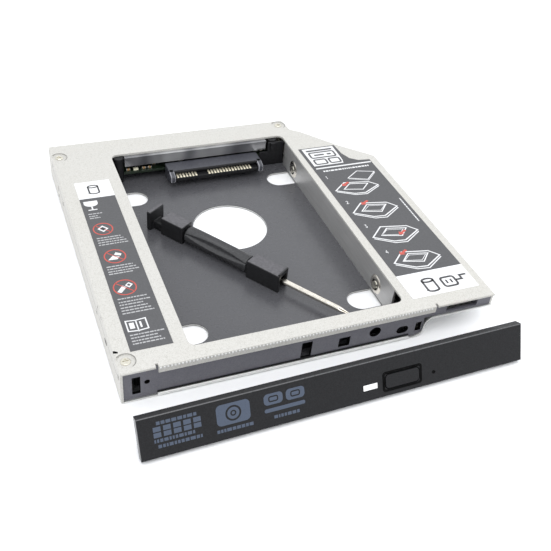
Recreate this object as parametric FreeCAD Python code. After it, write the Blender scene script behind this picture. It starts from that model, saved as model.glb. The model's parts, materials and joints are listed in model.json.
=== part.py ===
"""Optical-bay drive caddy kit: caddy with adapter board, loose faceplate, retaining bar and screwdriver.

Millimetres, +Z up, +X to the right along the caddy's front, +Y from the front to the back.
Everything is drawn from the caddy's front-left-bottom corner and moved once, at the end,
so that the origin is the bottom centre of the whole set's box.
"""
import FreeCAD, Part
import math
import os

V = FreeCAD.Vector

# ---- caddy body ------------------------------------------------------------------------------
body_w = 128.0            # width at the front, wing included
body_d = 127.3            # front to back
body_h = 12.7             # bay height that the body fills
sheet = 0.8               # top cover sheet
base_t = 0.6              # bottom shell sheet
floor_t = 0.4             # dark floor sheet laid on the bottom shell
edge_round = 0.35         # rolled top edge of the cover
cover_z = body_h - sheet  # underside of the cover plate
floor_z = base_t + floor_t
outline = [(0, 0), (body_w, 0), (body_w, 91.0), (126.2, 93.0), (115.5, 103.3), (114.1, 105.3),
           (104.8, 116.5), (101.2, 119.2), (100.3, body_d), (0, body_d)]
wing_x = 102.4            # where the full-depth body ends and the wing starts
wing_z = 7.4              # underside of the wing
foot_r = 3.5              # rounding from the underside up the right side
wing_r = 3.0              # rounding from the right side out to the wing
back_return_y = 118.3     # behind this the cover's side return reaches down to the base

# ---- drive bay --------------------------------------------------------------------------------
bay_x0, bay_x1 = 22.3, 95.5
bay_y0, bay_y1 = 5.4, 115.4
bay_corner_r = 2.5
view_hole = (58.9, 73.7, 14.3)          # round floor hole: x, y, radius
slot_r = 4.75                           # half width of the four floor slots
slot_reach = 11.0                       # how far a slot runs in from the bay's side
slot_rows = (21.4, 100.4)
rail_t = 0.8
rail_gap = 0.1
rail_y0, rail_y1 = 12.0, 111.0
rail_foot = 4.0
screw_row_front = 23.4
screw_row_pitch = 76.6                  # side screw spacing of a 2.5 inch drive
screw_row_z = 5.0

# ---- front ------------------------------------------------------------------------------------
lip_t = 0.6
top_lip = (11.0, 105.0, 10.1)           # x from, x to, lowest z
bottom_lip = (11.0, 96.8, 1.4)          # x from, x to, highest z
front_t = 1.0
notch_w, notch_d = 0.8, 1.4
front_slots = [(3.5, 6.0, 2.5, 9.5), (57.4, 61.0, 1.5, 8.4), (70.5, 74.5, 3.0, 6.9),
               (98.9, 101.1, 2.65, 6.45)]
front_pin_hole = (8.0, 6.7, 0.85)       # x, z, radius
front_button_hole = (83.5, 6.3, 2.05)
front_eject_slot = (94.0, 4.5, 1.5, 1.4)  # x, z, radius, extra width
wing_slot = (109.7, 121.8, 8.7, 11.2)
wing_block = (121.8, 127.1, 6.0)        # x from, x to, depth

# ---- screws and posts -------------------------------------------------------------------------
corner_screws = [(2.8, 4.8), (2.8, 118.5), (97.4, 123.9)]
dimple_r, dimple_depth = 2.9, 0.35
post_r, post_bore = 1.9, 0.95
head_r, head_t = 1.5, 0.4
shaft_r = 0.9

bracket_holes = (72.0, 88.0)            # threaded holes for a notebook's own rear bracket
bracket_hole_z, bracket_hole_r = 8.6, 0.8
bracket_nut_r, bracket_nut_len = 1.9, 1.8

# ---- adapter board ----------------------------------------------------------------------------
board_z, board_t = 4.2, 1.0
board_x0, board_x1 = 12.0, 92.0
board_y0, board_y1 = 113.4, 121.0
board_screws_at = [(52.0, 118.4), (87.6, 118.4)]
crossbar = (27.4, 88.0, 113.4, 7.8)     # x from, x to, y of the face, lowest z
side_posts = [(25.1, 114.4), (91.0, 115.0)]
side_post_r = 1.9
drive_plug = (42.0, 83.4, 104.6, 113.2, 2.2, 7.4)
plug_arm = (2.2, 3.4)                   # guide arm width and how far it stands forward
plug_mouth = (44.9, 80.5, 3.6, 6.1, 5.2)  # x from, x to, z from, z to, depth
pin_pitch, pin_w, pin_t = 1.27, 0.7, 0.25
signal_pins, power_pins = 7, 15
signal_x = 47.0
power_x = 60.2
host_plug = (14.0, 47.0, 121.0, 127.9, 2.0, 8.0)
host_mouth = (15.2, 45.8, 2.9, 7.1, 5.4)
host_tongue_t = 1.2
host_pins = (7, 6)
host_pin_x = (19.0, 31.8)
host_window_gap = 0.2

# ---- labels -----------------------------------------------------------------------------------
label_t = 0.1
left_label_box = (5.0, 18.0, 8.0, 98.9)
right_label_outline = [(99.0, 5.4), (125.0, 5.4), (124.6, 88.6), (119.6, 89.2), (116.6, 91.4),
                       (114.9, 95.6), (114.5, 102.5), (98.0, 102.5)]

# ---- retaining bar and screwdriver ------------------------------------------------------------
bar_at = (29.6, 79.2)
bar_turn = -55.1
bar_w, bar_z0, bar_z1 = 6.0, floor_z + 0.05, 8.3
plate_s, plate_side, plate_top = 1.8, 0.9, 9.0
neck_len, neck_top = 4.3, 4.4
left_block = (4.3, 14.3)
right_block = (43.3, 57.0)
bar_wall = 1.1
back_rail = (6.8, 7.7, 4.6)             # across from, across to, top
driver_p, driver_z = 3.2, 4.55
handle_r, handle_s0, handle_s1 = 3.25, 14.7, 42.9
flutes, flute_r, flute_out = 6, 1.5, 4.1
collar_r, collar_len = 1.7, 4.0
shank_r, shank_end, tip_len = 1.05, 83.4, 3.2

# ---- faceplate --------------------------------------------------------------------------------
face_w, face_h, face_t = 127.6, 12.8, 3.0
face_skin, face_wall, face_round = 1.6, 1.0, 0.4
face_at = (0.42, -22.9)                 # x and y of its lower left front corner
face_yaw = 1.0
face_lean = 25.7                        # it leans back on its lower rear edge
button_box = (76.6, 88.4, 2.6, 7.1)
button_gap, button_r, button_proud = 0.3, 1.2, 0.15
button_flange, button_flange_t, button_travel = 0.7, 0.4, 0.6
window_box = (68.9, 73.7, 3.6, 5.4)
face_pin_hole = (93.9, 4.0, 0.55)
hooks = [(3.8, 5.3, 4.8, 6.5, 6.0), (58.0, 60.2, 3.9, 5.9, 8.2),
         (99.2, 100.5, 4.4, 5.6, 6.9)]  # x from, x to, z from, z to, reach
barb = 0.6

origin_x = 64.0                         # bottom centre of the whole set
origin_y = 52.5


def box(x0, x1, y0, y1, z0, z1):
    return Part.makeBox(x1 - x0, y1 - y0, z1 - z0, V(x0, y0, z0))


def prism(points, z0, z1):
    loop = [V(x, y, z0) for x, y in points]
    return Part.Face(Part.makePolygon(loop + loop[:1])).extrude(V(0, 0, z1 - z0))


def upright(x, y, z0, z1, r):
    return Part.makeCylinder(r, z1 - z0, V(x, y, z0))


def along_y(x, z, y0, y1, r):
    return Part.makeCylinder(r, y1 - y0, V(x, y0, z), V(0, 1, 0))


def along_x(y, z, x0, x1, r):
    return Part.makeCylinder(r, x1 - x0, V(x0, y, z), V(1, 0, 0))


def join(shapes):
    whole = shapes[0]
    for shape in shapes[1:]:
        whole = whole.fuse(shape)
    return whole.removeSplitter()


def soften(shape, radius, wanted):
    """Round the edges whose two ends both satisfy the given test."""
    picked = [e for e in shape.Edges if all(wanted(v.Point) for v in e.Vertexes)]
    return shape.makeFillet(radius, picked)


def same(a, b):
    return abs(a - b) < 1e-6


# ---- caddy sheets -----------------------------------------------------------------------------
def inner_outline():
    loop = [V(x, y, 0) for x, y in outline]
    face = Part.Face(Part.makePolygon(loop + loop[:1]))
    return face.makeOffset2D(-sheet, 2)


def bay_opening(z0, z1):
    hole = box(bay_x0, bay_x1, bay_y0, bay_y1, z0, z1)
    picked = [e for e in hole.Edges if same(e.Vertexes[0].X, e.Vertexes[1].X)
              and same(e.Vertexes[0].Y, e.Vertexes[1].Y)]
    return hole.makeFillet(bay_corner_r, picked)


def floor_holes(z0, z1):
    x, y, r = view_hole
    cuts = [upright(x, y, z0, z1, r)]
    for row in slot_rows:
        left_end = bay_x0 + slot_reach - slot_r
        right_end = bay_x1 - slot_reach + slot_r
        cuts.append(box(bay_x0, left_end, row - slot_r, row + slot_r, z0, z1))
        cuts.append(upright(left_end, row, z0, z1, slot_r))
        cuts.append(box(right_end, bay_x1, row - slot_r, row + slot_r, z0, z1))
        cuts.append(upright(right_end, row, z0, z1, slot_r))
    return join(cuts)


def bottom_shell():
    """Base, rounded right side and wing underside, bent from one sheet."""
    half = math.sqrt(0.5)
    foot_x, foot_z = wing_x - foot_r, foot_r
    bend_x, bend_z = wing_x + wing_r, wing_z - wing_r

    def arc(cx, cz, r, a0, a1):
        pts = []
        for a in (a0, (a0 + a1) / 2, a1):
            pts.append(V(cx + r * math.cos(math.radians(a)), 0, cz + r * math.sin(math.radians(a))))
        return Part.Arc(*pts).toShape()

    outer_foot = arc(foot_x, foot_z, foot_r, -90, 0)
    outer_bend = arc(bend_x, bend_z, wing_r, 180, 90)
    inner_bend = arc(bend_x, bend_z, wing_r + base_t, 90, 180)
    inner_foot = arc(foot_x, foot_z, foot_r - base_t, 0, -90)
    line = Part.makeLine
    edges = [line(V(0, 0, 0), V(foot_x, 0, 0)), outer_foot,
             line(V(wing_x, 0, foot_z), V(wing_x, 0, bend_z)), outer_bend,
             line(V(bend_x, 0, wing_z), V(body_w, 0, wing_z)),
             line(V(body_w, 0, wing_z), V(body_w, 0, wing_z + base_t)),
             line(V(body_w, 0, wing_z + base_t), V(bend_x, 0, wing_z + base_t)), inner_bend,
             line(V(wing_x - base_t, 0, bend_z), V(wing_x - base_t, 0, foot_z)), inner_foot,
             line(V(foot_x, 0, base_t), V(0, 0, base_t)),
             line(V(0, 0, base_t), V(0, 0, 0))]
    sheet_metal = Part.Face(Part.Wire(edges)).extrude(V(0, body_d, 0))
    sheet_metal = sheet_metal.common(prism(outline, -1, body_h))
    x0, x1, z1 = bottom_lip
    lip = box(x0, x1, 0, lip_t, base_t, z1)
    return join([sheet_metal, lip]).cut(floor_holes(-1, floor_z + 1))


def outside_foot():
    """The corner that the base's rounded right edge leaves free."""
    foot_x = wing_x - foot_r
    corner = box(foot_x, wing_x + 1, -1, body_d + 1, 0, foot_r)
    return corner.cut(along_y(foot_x, foot_r, -1, body_d + 1, foot_r - base_t))


def cover_sides():
    """The cover's returns: left side and back down to the base, wing sides down to the wing."""
    ring = prism(outline, base_t, cover_z).cut(inner_outline().extrude(V(0, 0, body_h)))
    left = box(-1, sheet, 0, body_d + 1, base_t, cover_z)
    back = box(-1, body_w, back_return_y, body_d + 1, base_t, cover_z)
    wing = box(wing_x, body_w + 1, lip_t, back_return_y, wing_z + base_t, cover_z)
    parts = [ring.common(zone) for zone in (left, back, wing)]
    sides = join(parts)
    x0, x1, _, _, z0, z1 = host_plug
    gap = host_window_gap
    window = box(x0 - gap, x1 + gap, body_d - 2, body_d + 1, z0 - gap, z1 + gap)
    slots = [box(-1, 1, 18.6, 20.8, 5.6, 7.4), box(-1, 1, 1.8, 3.4, 8.0, 10.0),
             box(-1, 1, 25.4, 26.6, 10.4, cover_z), box(-1, 1, 30.4, 31.6, 10.4, cover_z),
             box(-1, 1, 105.2, 106.8, 5.6, 7.4)]
    holes = [along_y(x, bracket_hole_z, body_d - 2, body_d + 1, bracket_hole_r)
             for x in bracket_holes]
    for cut in [window] + slots + holes:
        sides = sides.cut(cut)
    behind_fascia = box(sheet, body_w - sheet, -1, sheet, -1, cover_z)
    return sides.cut(behind_fascia).cut(outside_foot())


def top_cover():
    plate = prism(outline, cover_z, body_h)
    plate = soften(plate, edge_round, lambda p: same(p.z, body_h))
    x0, x1, z0 = top_lip
    lip = box(x0, x1, 0, lip_t, z0, cover_z)
    cover = join([plate, lip, cover_sides()]).cut(bay_opening(cover_z - 1, body_h + 1))
    for x in (x0 - notch_w / 2, x1):
        cover = cover.cut(box(x, x + notch_w, -1, notch_d, cover_z - 2, body_h + 1))
    for x, y in corner_screws:
        cover = cover.cut(upright(x, y, body_h - dimple_depth, body_h + 1, dimple_r))
        cover = cover.cut(upright(x, y, cover_z - 1, body_h, shaft_r + 0.2))
    return cover.cut(bottom_shell())


def floor_sheet():
    sheet_body = box(sheet + 0.2, wing_x - foot_r, lip_t + front_t, body_d - sheet, base_t, floor_z)
    corner = prism(outline, -1, body_h)
    return sheet_body.common(corner).cut(floor_holes(0, floor_z + 1))


def front_plate():
    """Dark fascia behind the cover's lips, with the block that closes the wing's end."""
    y0, y1 = lip_t, lip_t + front_t
    main = box(sheet + 0.1, wing_x - base_t, y0, y1, base_t, cover_z)
    wing = box(wing_x - base_t, body_w - sheet, y0, y1, wing_z + base_t, cover_z)
    x0, x1, depth = wing_block
    block = box(x0, x1, y0, y0 + depth, wing_z + base_t, cover_z)
    plate = join([main, wing, block])
    for a, b, c, d in front_slots + [wing_slot]:
        plate = plate.cut(box(a, b, -1, y1 + 1, c, d))
    for x, z, r in (front_pin_hole, front_button_hole):
        plate = plate.cut(along_y(x, z, -1, y1 + 1, r))
    x, z, r, extra = front_eject_slot
    for dx in (-extra / 2, extra / 2):
        plate = plate.cut(along_y(x + dx, z, -1, y1 + 1, r))
    plate = plate.cut(box(x - extra / 2, x + extra / 2, -1, y1 + 1, z - r, z + r))
    return plate.cut(outside_foot()).cut(bottom_shell())


# ---- bay sides, posts and screws --------------------------------------------------------------
def screw_rows():
    return (screw_row_front, screw_row_front + screw_row_pitch)


def rail(side):
    """Side wall of the bay with a foot and two raised screw seats; side is -1 left, +1 right."""
    face = bay_x1 + rail_gap if side > 0 else bay_x0 - rail_gap
    back = face + side * rail_t
    toe = back + side * rail_foot
    wall = box(min(face, back), max(face, back), rail_y0, rail_y1, floor_z, cover_z)
    foot = box(min(back, toe), max(back, toe), rail_y0, rail_y1, floor_z, floor_z + rail_t)
    body = join([wall, foot])
    if side > 0:
        body = body.cut(bottom_shell())
    for y in screw_rows():
        x0, x1 = min(face, back), max(face, back)
        body = body.fuse(along_x(y, screw_row_z, min(back, back + side * 0.6),
                                 max(back, back + side * 0.6), 3.0))
        body = body.cut(along_x(y, screw_row_z, x0 - 2, x1 + 2, 1.6))
    return body.removeSplitter()


def drive_screws():
    """Pan-head screws through the rails; their ends reach into the drive's side holes."""
    group = []
    for side in (-1, 1):
        face = bay_x1 + rail_gap if side > 0 else bay_x0 - rail_gap
        for y in screw_rows():
            tip = face - side * 0.9
            seat = face + side * (rail_t + 0.6)
            end = seat + side * 1.3
            shaft = along_x(y, screw_row_z, min(tip, seat), max(tip, seat), 1.45)
            head = along_x(y, screw_row_z, min(seat, end), max(seat, end), 2.6)
            group.append(join([shaft, head]))
    return Part.makeCompound(group)


def corner_posts():
    group = []
    for x, y in corner_screws:
        post = upright(x, y, floor_z, cover_z, post_r)
        group.append(post.cut(upright(x, y, cover_z - 6, cover_z + 1, post_bore)))
    return Part.makeCompound(group)


def cross_recess(x, y, top, size, depth):
    slot = box(x - size, x + size, y - 0.18, y + 0.18, top - depth, top + 1)
    return slot.fuse(box(x - 0.18, x + 0.18, y - size, y + size, top - depth, top + 1))


def flat_screw(x, y, seat, length):
    head = upright(x, y, seat, seat + head_t, head_r)
    head = soften(head, 0.15, lambda p: same(p.z, seat + head_t))
    shaft = upright(x, y, seat - length, seat, shaft_r)
    return join([head, shaft]).cut(cross_recess(x, y, seat + head_t, 0.85, 0.3))


def cover_screws():
    seat = body_h - dimple_depth
    return Part.makeCompound([flat_screw(x, y, seat, 5.0) for x, y in corner_screws])


def bracket_nuts():
    """Pressed-in nuts behind the back wall."""
    group = []
    y1 = body_d - sheet
    for x in bracket_holes:
        nut = along_y(x, bracket_hole_z, y1 - bracket_nut_len, y1, bracket_nut_r)
        group.append(nut.cut(along_y(x, bracket_hole_z, y1 - 5, y1 + 1, bracket_hole_r)))
    return Part.makeCompound(group)


# ---- adapter board ----------------------------------------------------------------------------
def adapter_board():
    board = box(board_x0, board_x1, board_y0, board_y1, board_z, board_z + board_t)
    board = board.fuse(box(50.0, board_x1, board_y1, 125.0, board_z, board_z + board_t))
    for x, y in board_screws_at:
        board = board.cut(upright(x, y, 0, body_h, shaft_r + 0.2))
    for x, y in side_posts:
        board = board.cut(upright(x, y, 0, body_h, side_post_r + 0.2))
    return board.removeSplitter()


def board_posts():
    group = []
    for x, y in board_screws_at:
        post = upright(x, y, floor_z, board_z, 2.2)
        group.append(post.cut(upright(x, y, board_z - 2.6, board_z + 1, post_bore)))
    return Part.makeCompound(group)


def board_screws():
    return Part.makeCompound([flat_screw(x, y, board_z + board_t, 3.0) for x, y in board_screws_at])


def chip(x, y, w, d, h):
    return box(x - w / 2, x + w / 2, y - d / 2, y + d / 2, board_z + board_t, board_z + board_t + h)


def board_capacitors():
    places = [(35.4, 114.9), (37.8, 114.9), (29.0, 114.9), (40.2, 117.6), (26.6, 117.6)]
    return Part.makeCompound([chip(x, y, 1.6, 0.9, 0.9) for x, y in places])


def board_regulator():
    body = chip(33.4, 118.2, 4.2, 3.2, 1.3)
    legs = [chip(33.4 + dx, 118.2 + side * 1.95, 0.5, 0.7, 0.3)
            for dx in (-1.3, 0.0, 1.3) for side in (-1, 1)]
    return join([body] + legs)


def indicator_light():
    return chip(32.0, 114.6, 2.0, 1.3, 0.9)


def rear_crossbar():
    x0, x1, y, z0 = crossbar
    face = box(x0, x1, y, y + sheet, z0, cover_z)
    flange = box(x0, x1, y + sheet, y + 5.0, cover_z - sheet, cover_z)
    return join([face, flange])


def crossbar_posts():
    """Moulded posts that carry the ends of the crossbar."""
    return Part.makeCompound([upright(x, y, floor_z, cover_z, side_post_r) for x, y in side_posts])


def drive_connector():
    """Drive-side receptacle: a body with a long mouth and a guide arm at each end."""
    x0, x1, y0, y1, z0, z1 = drive_plug
    arm_w, arm_len = plug_arm
    body = box(x0, x1, y0, y1, z0, z1)
    body = body.fuse(box(x0, x0 + arm_w, y0 - arm_len, y0, z0, z1 - 1.2))
    body = body.fuse(box(x1 - arm_w, x1, y0 - arm_len, y0, z0, z1 - 1.2))
    mx0, mx1, mz0, mz1, depth = plug_mouth
    body = body.cut(box(mx0, mx1, y0 - 1, y0 + depth, mz0, mz1))
    bevel = Part.Face(Part.makePolygon([V(0, y0, z1), V(0, y0, z1 - 0.9), V(0, y0 + 1.6, z1),
                                        V(0, y0, z1)])).extrude(V(body_w, 0, 0))
    return body.cut(bevel).removeSplitter()


def drive_contacts():
    x0, x1, y0, y1, z0, z1 = drive_plug
    mx0, mx1, mz0, mz1, depth = plug_mouth
    group = []
    places = [signal_x + i * pin_pitch for i in range(signal_pins)]
    places += [power_x + i * pin_pitch for i in range(power_pins)]
    for x in places:
        group.append(box(x - pin_w / 2, x + pin_w / 2, y0 + 0.3, y0 + depth, mz0, mz0 + pin_t))
        group.append(box(x - pin_w / 2, x + pin_w / 2, board_y0, board_y0 + 1.8,
                         board_z + board_t, board_z + board_t + pin_t))
    return Part.makeCompound(group)


def host_connector():
    """Notebook-side plug at the back: a shell round a tongue."""
    x0, x1, y0, y1, z0, z1 = host_plug
    mx0, mx1, mz0, mz1, depth = host_mouth
    shell = box(x0, x1, y0, y1, z0, z1).cut(box(mx0, mx1, y1 - depth, y1 + 1, mz0, mz1))
    mid = (mz0 + mz1) / 2
    tongue = box(mx0 + 1.6, mx1 - 1.6, y1 - depth, y1 - 0.8, mid - host_tongue_t / 2,
                 mid + host_tongue_t / 2)
    key = box(28.4, 29.6, y1 - depth, y1 - 0.5, mz0, mid)
    return join([shell, tongue, key])


def host_contacts():
    x0, x1, y0, y1, z0, z1 = host_plug
    mx0, mx1, mz0, mz1, depth = host_mouth
    top = (mz0 + mz1) / 2 + host_tongue_t / 2
    group = []
    for count, start in zip(host_pins, host_pin_x):
        for i in range(count):
            x = start + i * pin_pitch
            group.append(box(x - pin_w / 2, x + pin_w / 2, y1 - depth, y1 - 1.2, top, top + pin_t))
    return Part.makeCompound(group)


# ---- labels -----------------------------------------------------------------------------------
def left_label():
    x0, x1, y0, y1 = left_label_box
    return box(x0, x1, y0, y1, body_h, body_h + label_t)


def right_label():
    return prism(right_label_outline, body_h, body_h + label_t)


# ---- retaining bar and screwdriver, drawn along X and then turned into place -------------------
def lay_in_bay(shape):
    shape = shape.copy()
    shape.rotate(V(0, 0, 0), V(0, 0, 1), bar_turn)
    shape.translate(V(bar_at[0], bar_at[1], 0))
    return shape


def channel(s0, s1, open_left, open_right):
    """Moulded block that is hollow underneath, so that the screwdriver clips in from below."""
    block = box(s0, s1, 0, bar_w, bar_z0, bar_z1)
    block = soften(block, 0.4, lambda p: same(p.z, bar_z1))
    c0 = s0 - 1 if open_left else s0 + bar_wall
    c1 = s1 + 1 if open_right else s1 - bar_wall
    return block.cut(box(c0, c1, bar_wall, bar_w - bar_wall, bar_z0 - 1, bar_z1 - bar_wall))


def retaining_bar():
    plate = box(-plate_s, 0, -plate_side, bar_w + plate_side, bar_z0, plate_top)
    plate = soften(plate, 0.5, lambda p: same(p.z, plate_top))
    neck = box(0, neck_len, 1.0, bar_w - 1.0, bar_z0, neck_top)
    p0, p1, top = back_rail
    s0, s1 = left_block[1] - 2.4, right_block[0] + 2.4
    rail_body = box(s0, s1, p0, p1, bar_z0, top)
    lugs = [box(s0, left_block[1], bar_w - 0.2, p1, bar_z0, top),
            box(right_block[0], s1, bar_w - 0.2, p1, bar_z0, top)]
    blocks = [channel(*left_block, False, False), channel(*right_block, True, True)]
    return lay_in_bay(join([plate, neck, rail_body] + lugs + blocks))


def driver_handle():
    """Fluted round grip with a domed end."""
    grip = Part.makeCylinder(handle_r, handle_s1 - handle_s0, V(handle_s0, driver_p, driver_z),
                             V(1, 0, 0))
    grip = grip.makeFillet(0.9, [e for e in grip.Edges if len(e.Vertexes) == 1])
    for i in range(flutes):
        a = math.radians(360.0 / flutes * i + 30)
        y = driver_p + flute_out * math.cos(a)
        z = driver_z + flute_out * math.sin(a)
        cut = Part.makeCylinder(flute_r, handle_s1 - handle_s0 - 9, V(handle_s0 + 4.5, y, z),
                                V(1, 0, 0))
        ends = [Part.makeSphere(flute_r, V(s, y, z)) for s in (handle_s0 + 4.5, handle_s1 - 4.5)]
        grip = grip.cut(join([cut] + ends))
    bore = Part.makeCylinder(shank_r, 14, V(handle_s1 - 13, driver_p, driver_z), V(1, 0, 0))
    return lay_in_bay(grip.cut(bore))


def driver_shank():
    """Steel shank: a collar under the grip, a round blade and a cross-shaped point."""
    axis = V(1, 0, 0)
    root = handle_s1 - 13
    rod = Part.makeCylinder(shank_r, shank_end - tip_len - root, V(root, driver_p, driver_z), axis)
    collar = Part.makeCylinder(collar_r, collar_len, V(handle_s1, driver_p, driver_z), axis)
    tip = Part.makeCone(shank_r, 0.35, tip_len, V(shank_end - tip_len, driver_p, driver_z), axis)
    shank = join([rod, collar, tip])
    for i in range(4):
        flank = box(shank_end - tip_len - 0.4, shank_end + 1, 0.22, 3, 0.22, 3)
        flank.rotate(V(0, 0, 0), V(1, 0, 0), 90 * i + 45)
        flank.translate(V(0, driver_p, driver_z))
        shank = shank.cut(flank)
    return lay_in_bay(shank)


# ---- faceplate, drawn upright with its front on y = 0 and then stood in front of the caddy ------
def stand_in_front(shape):
    shape = shape.copy()
    shape.rotate(V(0, 0, 0), V(1, 0, 0), -face_lean)
    shape.rotate(V(0, 0, 0), V(0, 0, 1), face_yaw)
    rise = face_t * math.sin(math.radians(face_lean))
    shape.translate(V(face_at[0], face_at[1], rise))
    return shape


def rounded_slab(x0, x1, z0, z1, r, y0, y1):
    slab = box(x0, x1, y0, y1, z0, z1)
    picked = [e for e in slab.Edges if same(e.Vertexes[0].X, e.Vertexes[1].X)
              and same(e.Vertexes[0].Z, e.Vertexes[1].Z)]
    return slab.makeFillet(r, picked)


def faceplate():
    plate = box(0, face_w, 0, face_t, 0, face_h)
    plate = soften(plate, face_round, lambda p: same(p.y, 0))
    hollow = box(face_wall, face_w - face_wall, face_skin, face_t + 1, face_wall, face_h - face_wall)
    plate = plate.cut(hollow)
    gap = button_gap
    x0, x1, z0, z1 = button_box
    plate = plate.cut(rounded_slab(x0 - gap, x1 + gap, z0 - gap, z1 + gap, button_r + gap, -1, 2))
    x0, x1, z0, z1 = window_box
    plate = plate.cut(box(x0, x1, -1, face_skin + 1, z0, z1))
    x, z, r = face_pin_hole
    plate = plate.cut(along_y(x, z, -1, face_skin + 1, r))
    ribs = [box(x, x + 0.8, face_skin - 0.1, face_t, 0.5, face_h - 0.5) for x in (20, 42, 66, 110)]
    arms = []
    for x0, x1, z0, z1, reach in hooks:
        arms.append(box(x0, x1, face_skin - 0.1, reach, z0, z1))
        profile = [V(x0, reach, z1 - 0.1), V(x0, reach - 1.8, z1 - 0.1),
                   V(x0, reach - 1.8, z1 + barb), V(x0, reach, z1 - 0.1)]
        arms.append(Part.Face(Part.makePolygon(profile)).extrude(V(x1 - x0, 0, 0)))
    return stand_in_front(join([plate] + ribs + arms))


def light_window():
    """Clear insert that fills the faceplate's slot, with a flange behind."""
    x0, x1, z0, z1 = window_box
    body = box(x0, x1, -0.05, face_skin, z0, z1)
    flange = box(x0 - 0.7, x1 + 0.7, face_skin, face_skin + 0.5, z0 - 0.7, z1 + 0.7)
    return stand_in_front(join([body, flange]))


def eject_button():
    x0, x1, z0, z1 = button_box
    cap = rounded_slab(x0, x1, z0, z1, button_r, -button_proud, face_skin + 0.4)
    cap = soften(cap, 0.12, lambda p: same(p.y, -button_proud))
    f = button_flange
    y0 = face_skin + 0.35
    flange = box(x0 - f, x1 + f, y0, y0 + button_flange_t, z0 - f, z1 + f)
    return stand_in_front(join([cap, flange]))


nodes = {
    "top_cover": top_cover, "bottom_shell": bottom_shell, "floor_sheet": floor_sheet,
    "front_plate": front_plate, "left_rail": lambda: rail(-1), "right_rail": lambda: rail(1),
    "drive_screws": drive_screws, "corner_posts": corner_posts, "cover_screws": cover_screws,
    "bracket_nuts": bracket_nuts, "rear_crossbar": rear_crossbar, "crossbar_posts": crossbar_posts,
    "adapter_board": adapter_board, "board_posts": board_posts, "board_screws": board_screws,
    "board_capacitors": board_capacitors, "board_regulator": board_regulator,
    "indicator_light": indicator_light, "drive_connector": drive_connector,
    "drive_contacts": drive_contacts, "host_connector": host_connector,
    "host_contacts": host_contacts, "left_label": left_label, "right_label": right_label,
    "retaining_bar": retaining_bar, "driver_handle": driver_handle, "driver_shank": driver_shank,
    "faceplate": faceplate, "light_window": light_window, "eject_button": eject_button,
}

os.makedirs("parts", exist_ok=True)
for name, make in nodes.items():
    shape = make()
    shape.translate(V(-origin_x, -origin_y, 0))
    shape.exportStep("parts/" + name + ".step")
    b = shape.BoundBox
    print("%-18s %2d solids  x %7.2f %7.2f  y %7.2f %7.2f  z %6.2f %6.2f  %s" % (
        name, len(shape.Solids), b.XMin, b.XMax, b.YMin, b.YMax, b.ZMin, b.ZMax,
        "ok" if shape.isValid() else "NOT VALID"))
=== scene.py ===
# %% [markdown]
# # A drive caddy kit, finished in Blender
#
# The object is a slim metal tray that takes the place of a notebook's optical drive and holds a small drive
# instead. With it come a loose black faceplate, a plastic retaining bar and a little screwdriver that clips
# into the bar. The CAD model fixes every size and every joint. This file makes the surfaces: rounded sheet
# edges, printed stickers, screws, contacts and the finishes.
#
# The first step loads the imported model. It gives the bodies, the CAD nodes and the joints, and nothing here
# may move them.

# %% Load the frame
import json
import math
import random

import bmesh
import bpy
from mathutils import Matrix, Vector


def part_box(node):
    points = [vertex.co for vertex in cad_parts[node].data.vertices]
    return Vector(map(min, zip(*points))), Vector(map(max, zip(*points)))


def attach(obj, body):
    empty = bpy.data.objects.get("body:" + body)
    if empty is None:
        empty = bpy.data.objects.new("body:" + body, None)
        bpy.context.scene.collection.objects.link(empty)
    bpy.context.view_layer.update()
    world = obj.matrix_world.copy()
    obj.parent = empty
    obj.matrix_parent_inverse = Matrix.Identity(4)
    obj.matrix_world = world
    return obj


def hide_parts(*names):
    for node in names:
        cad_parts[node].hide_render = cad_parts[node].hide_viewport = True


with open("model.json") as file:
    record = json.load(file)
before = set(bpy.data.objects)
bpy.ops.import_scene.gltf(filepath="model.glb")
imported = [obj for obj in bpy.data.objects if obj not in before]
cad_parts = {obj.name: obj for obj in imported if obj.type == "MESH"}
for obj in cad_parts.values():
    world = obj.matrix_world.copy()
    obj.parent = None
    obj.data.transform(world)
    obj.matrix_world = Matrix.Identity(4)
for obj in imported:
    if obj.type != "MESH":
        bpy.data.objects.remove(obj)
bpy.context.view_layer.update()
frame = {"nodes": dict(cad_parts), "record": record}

MM = 0.001


# %% [markdown]
# ## Units and places
#
# Blender works in metres and the drawings are in millimetres, so one function turns a place on the caddy,
# counted from its front left bottom corner, into a place in the frame. The corner comes from the bottom
# shell's own box. The faceplate is easiest to draw upright, where it sits once it is clipped on. Its joint
# says which turn leads there from the pose at rest, so the same turn backwards lays the drawing down.

# %% Places on the caddy and on the faceplate
corner = Vector(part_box("bottom_shell")[0])


def at(x, y, z):
    return corner + Vector((x, y, z)) * MM


def mm_box(node):
    """A CAD node's box as millimetres from the caddy's corner: low x, y, z and high x, y, z."""
    low, high = (Vector(c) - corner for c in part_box(node))
    return [c / MM for c in low] + [c / MM for c in high]


swing = next(j for j in frame["record"]["behaviour"]["joints"] if j["name"] == "faceplate_clip_on")
pivot = Vector(swing["pos_m"])
turn_back = Matrix.Rotation(-math.radians(swing["range_deg"][1]), 4, Vector(swing["axis"]).normalized())
lay_back = Matrix.Translation(pivot) @ turn_back @ Matrix.Translation(-pivot)
caddy_top = mm_box("left_label")[5]
print("top of the stickers: %.2f mm above the table" % caddy_top)

# %% [markdown]
# ## Making a piece
#
# Every piece ends the same way: its mesh is built in place, its object stays at the origin, it gets one
# finish, it rides on a CAD body, and it may stand for a CAD node. One function does all of that, so that no
# step is forgotten.

# %% One way to finish every piece
made = []


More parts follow.
